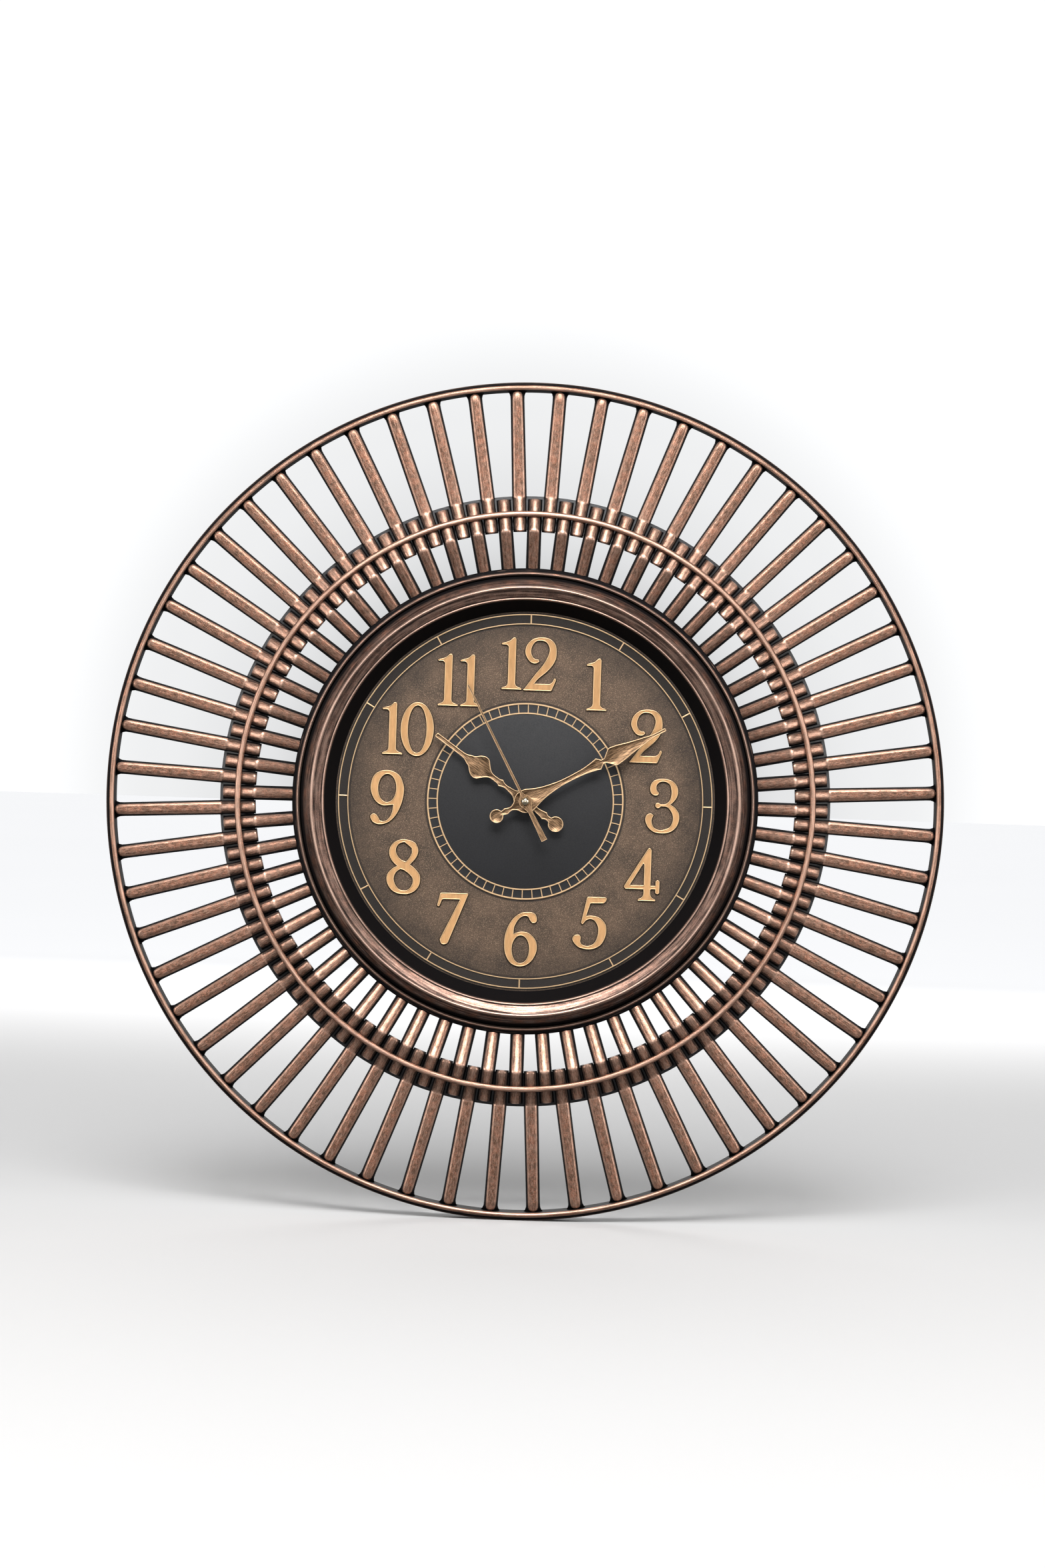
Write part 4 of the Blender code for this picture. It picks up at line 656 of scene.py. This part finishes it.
def room(loop, normals, loops):
    """How far each point may move along its normal before it meets an outline."""
    starts = np.concatenate(loops)
    stops = np.concatenate([np.roll(other, -1, 0) for other in loops])
    edge = stops - starts
    offset = starts[None] - loop[:, None]
    cross = normals[:, None, 0] * edge[None, :, 1] - normals[:, None, 1] * edge[None, :, 0]
    cross = np.where(np.abs(cross) < 1e-9, 1e-9, cross)
    reach = (offset[..., 0] * edge[None, :, 1] - offset[..., 1] * edge[None, :, 0]) / cross
    share = (offset[..., 0] * normals[:, None, 1] - offset[..., 1] * normals[:, None, 0]) / cross
    reach = np.where((reach > 0.05) & (share >= 0) & (share <= 1), reach, 99.0).min(1)
    for _ in range(3):
        reach = np.minimum(reach, np.minimum(np.roll(reach, 1), np.roll(reach, -1)) + 0.12)
    return reach


def relief(name, node, body, slot, material, border, recess, grain_from=None, shadow_foot=0.0):
    """A flat CAD piece with a smooth outline, a rounded raised border and a sunken face.

    Its dark foot is a painted contact shadow that spreads up to that far onto whatever the piece lies on.
    The cap at the back keeps the unspread outline, because a cap on the spread one can fill the counter of a
    figure.
    """
    rough, back, front = front_outlines(node)
    loops = [smooth_outline(loop) for loop in rough]
    shape = Shape()
    # The edge column marks the crest of the border, which its material paints paler: rubbed paint and painted
    # highlight.
    stations = ((0.0, None, 0.0, 0.0), (0.0, -0.34, 0.8, 0.0), (0.08, -0.10, 1.0, 0.5),
                (0.22, 0.0, 1.0, 1.0), (0.62, 0.0, 1.0, 1.0), (0.86, -0.4 * recess, 1.0, 0.4),
                (1.0, -recess, 0.8, 0.0))
    # The dark foot: a skirt with no wear round the piece's back, a painted contact shadow on the dial.
    if shadow_foot:
        foot = back - front
        stations = ((0.0, None, 0.0, 0.0), (-1.0, foot, 0.0, 0.0), (-1.0, foot + 0.16, 0.0, 0.0),
                    (0.0, foot + 0.30, 0.0, 0.0)) + stations[1:]
    inner_loops = []
    outer_loops = []
    ux, uy = grain_from or (0.0, 1.0)
    for loop in loops:
        normals = inward(loop)
        reach = np.minimum(border, room(loop, normals, loops) * 0.40)
        spread = np.minimum(shadow_foot, room(loop, -normals, loops) * 0.20)
        rings = []
        for share, drop, wear, edge in stations:
            height = back if drop is None else front + drop
            ring = []
            for point, normal, width in zip(loop, normals, reach if share >= 0 else spread):
                x, y = point + normal * width * share
                along, across = x * ux + y * uy, x * uy - y * ux
                ring.append(shape.add((x, y, height), wear, edge, (across * 2.6, along * 0.16, 0.0)))
            rings.append(ring)
        for lower, upper in zip(rings, rings[1:]):
            for step in range(len(loop)):
                shape.face([lower[step - 1], lower[step], upper[step], upper[step - 1]])
        inner_loops.append(rings[-1])
        outer_loops.append(rings[0])
    for chosen, turned in ((inner_loops, False), (outer_loops, True)):
        flat = [index for ring in chosen for index in ring]
        polygons = [[Vector((shape.points[i][0], shape.points[i][1], 0)) for i in ring] for ring in chosen]
        for a, b, c in tessellate_polygon(polygons):
            pa, pb, pc = (np.array(shape.points[flat[i]][:2]) for i in (a, b, c))
            area = (pb[0] - pa[0]) * (pc[1] - pa[1]) - (pb[1] - pa[1]) * (pc[0] - pa[0])
            if abs(area) < 1e-9:
                continue
            corners = [flat[a], flat[b], flat[c]]
            if (area < 0) != turned:
                corners.reverse()
            shape.face(corners)
    return build(name, shape, body, [node], [material], 55)


for node in [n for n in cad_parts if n.startswith("numeral_")]:
    relief(node.replace("numeral", "figure"), node, "clock_frame", "figure_gold", GOLD, 0.6, 0.22,
           shadow_foot=0.4)


def hand_direction(node):
    """The way a hand points, from the far end of its outline."""
    loops, _, _ = front_outlines(node)
    points = np.concatenate(loops)
    tip = points[np.argmax(np.linalg.norm(points, axis=1))]
    return tuple(tip / np.linalg.norm(tip))


for node, body, border in (("hour_hand", "hour_arbor", 0.6), ("minute_hand", "minute_arbor", 0.6),
                           ("second_hand", "seconds_arbor", 0.3)):
    relief(node + "_blade", node, body, "hand_bronze", BRONZE, border, 0.16,
           grain_from=hand_direction(node))

cap_low, cap_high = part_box("hand_cap")
cap_foot, cap_top, cap_radius = -cap_high.y / MM, -cap_low.y / MM, cap_high.x / MM
dome = [(0.0, cap_foot, 1, 0), (cap_radius - 0.25, cap_foot, 1, 0)]
for step in range(11):
    turn = math.radians(90 * step / 10)
    rise = (cap_top - cap_foot - 0.4) * math.sin(turn)
    dome.append((cap_radius * math.cos(turn), cap_foot + 0.4 + rise, 1, 0))
dome = lathe(Shape(), dome, 64, closed=False)
build("hand_cap_dome", dome, "seconds_arbor", ["hand_cap"], [CAP_GOLD])

# ---- CAD nodes that keep their own shape ----------------------------------------------------------------
NODE_FINISH = {
    "dial_plate": DIAL, "back_housing": BLACK, "movement_front_case": BLACK, "movement_back_cover": BLACK,
    "rubber_washer": RUBBER, "circuit_board": BOARD, "coil": WIRE, "battery": LABEL,
}
for label in ("brass_washer", "hex_nut", "contact_positive", "contact_negative", "cannon_pinion",
              "centre_wheel"):
    NODE_FINISH[label] = BRASS
for label in ("intermediate_wheel", "seconds_wheel", "third_wheel", "minute_wheel", "hour_wheel",
              "setting_knob"):
    NODE_FINISH[label] = MILKY
for label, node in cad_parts.items():
    finish = NODE_FINISH.get(label, STEEL)
    node.data.materials.clear()
    node.data.materials.append(finish)

# ---- stage, light and camera ----------------------------------------------------------------------------
FLOOR_Z = CAD_BOX[0].z
FLOOR_REACH = 30
floor_mesh = bpy.data.meshes.new("floor")
corners = [(x * FLOOR_REACH, y * FLOOR_REACH, FLOOR_Z) for x, y in ((-1, -1), (1, -1), (1, 1), (-1, 1))]
floor_mesh.from_pydata(corners, [], [(0, 1, 2, 3)])
floor = bpy.data.objects.new("floor", floor_mesh)
bpy.context.scene.collection.objects.link(floor)
floor.visible_diffuse = False
floor.visible_glossy = False
paper = Finish("paper", Roughness=0.9, Specular_IOR_Level=0.1, Emission_Color=(0.97, 0.98, 1.0, 1.0))
mottle = paper.noise(paper.place(), 0.8, 2.0)
# The paper gives off light of its own, more with distance, to come near the white sweep where they meet.
away = paper.node("ShaderNodeVectorMath", {0: paper.place()}, operation="LENGTH").outputs["Value"]
paper_tone = paper.mix(mottle, (0.60, 0.604, 0.614), (0.63, 0.633, 0.642))
paper_glow = paper.ramp(away, 0.8, 2.6, 0.0, 0.62)
floor_mesh.materials.append(paper.connect(Base_Color=paper_tone, Emission_Strength=paper_glow))

world = bpy.data.worlds.new("studio")
world.use_nodes = True
bpy.context.scene.world = world
tree = world.node_tree


def world_node(kind, links=(), **values):
    """A node of the world's tree with its settings, and links from other sockets."""
    made = tree.nodes.new(kind)
    for key, value in values.items():
        if hasattr(made, key):
            setattr(made, key, value)
        else:
            made.inputs[key.replace("_", " ")].default_value = value
    for socket, place in links:
        tree.links.new(socket, made.inputs[place])
    return made


# The camera sees a white sweep with a painted shadow, greyer straight behind the clock; the object is lit
# more gently.
split = world_node("ShaderNodeSeparateXYZ", [(tree.nodes.new("ShaderNodeTexCoord").outputs["Generated"], 0)])
# Painted shadow: a grey patch on the camera's backdrop straight behind the clock.
backdrop_shadow = world_node("ShaderNodeValToRGB")
spread = world_node("ShaderNodeMapRange", [(split.outputs["Y"], "Value")], From_Min=0.980, From_Max=1.0)
tree.links.new(spread.outputs[0], backdrop_shadow.inputs[0])
backdrop_shadow.color_ramp.interpolation = "EASE"
stops = backdrop_shadow.color_ramp.elements
for place, grey in ((0.30, 1.05), (0.62, 0.88), (0.80, 0.80), (0.93, 0.55)):
    stop = stops.new(place)
    stop.color = (grey * 0.985, grey * 0.992, grey, 1.0)
stops.remove(stops[0])
stops.remove(stops[-1])
front = world_node("ShaderNodeMapRange", [(split.outputs["Y"], "Value")], interpolation_type="SMOOTHSTEP",
                   From_Min=-0.1, From_Max=0.5, To_Min=WORLD_FRONT, To_Max=WORLD_REAR)
seen = tree.nodes.new("ShaderNodeLightPath")
tint = world_node("ShaderNodeMix", [(seen.outputs["Is Camera Ray"], "Factor"), (front.outputs[0], 6),
                                    (backdrop_shadow.outputs[0], 7)], data_type="RGBA")
tree.links.new(tint.outputs[2], tree.nodes["Background"].inputs["Color"])


def softbox(name, at, aim, size, power, colour=(1.0, 0.985, 0.96)):
    """A rectangular studio light turned to its aim."""
    light = bpy.data.lights.new(name, "AREA")
    light.shape = "RECTANGLE"
    light.size, light.size_y = size
    light.energy = power
    light.color = colour
    lamp = bpy.data.objects.new(name, light)
    lamp.location = at
    lamp.visible_camera = False
    lamp.rotation_euler = (Vector(aim) - Vector(at)).to_track_quat("-Z", "Y").to_euler()
    bpy.context.scene.collection.objects.link(lamp)


softbox("key", (0.0, -1.5, 1.25), (0.0, 0.0, 0.0), (1.3, 0.7), 14.0)
softbox("strip", (0.0, -1.05, 0.78), (0.0, 0.0, 0.06), (1.0, 0.22), 9.0)
softbox("left", (-1.7, -0.9, 0.35), (0.0, 0.0, 0.0), (0.5, 1.3), 11.5)
softbox("right", (1.7, -0.9, 0.35), (0.0, 0.0, 0.0), (0.5, 1.3), 11.5)
softbox("fill", (0.0, -1.6, -0.08), (0.0, 0.0, 0.0), (1.2, 0.25), 3.5)
softbox("behind", (0.0, 2.0, 0.7), (0.0, 0.0, 0.0), (1.6, 0.6), 18.0)
overhead = bpy.data.lights.new("overhead", "SUN")
overhead.energy = 1.2
overhead.angle = math.radians(28)
overhead_lamp = bpy.data.objects.new("overhead", overhead)
overhead_lamp.rotation_euler = (math.radians(34), 0.0, 0.0)
bpy.context.scene.collection.objects.link(overhead_lamp)

# The camera stands so that the clock fills the same part of the picture as in the photo.
DISTANCE = 1.8
DIAL_DEPTH = 0.025
SENSOR = 36.0
PICTURE_ROWS = 2352
PIXEL = 508.0 / 1259.0 * MM
camera_data = bpy.data.cameras.new("camera")
camera_data.sensor_width = SENSOR
camera_data.lens = SENSOR * (DISTANCE - DIAL_DEPTH) / (PICTURE_ROWS * PIXEL)
camera_data.dof.use_dof = False
camera = bpy.data.objects.new("camera", camera_data)
camera.location = (-5 * PIXEL, -DISTANCE, 26 * PIXEL)
camera.rotation_euler = (math.radians(90), math.radians(-1.9), 0.0)
bpy.context.scene.collection.objects.link(camera)
bpy.context.scene.camera = camera
bpy.context.scene.view_settings.view_transform = "Standard"
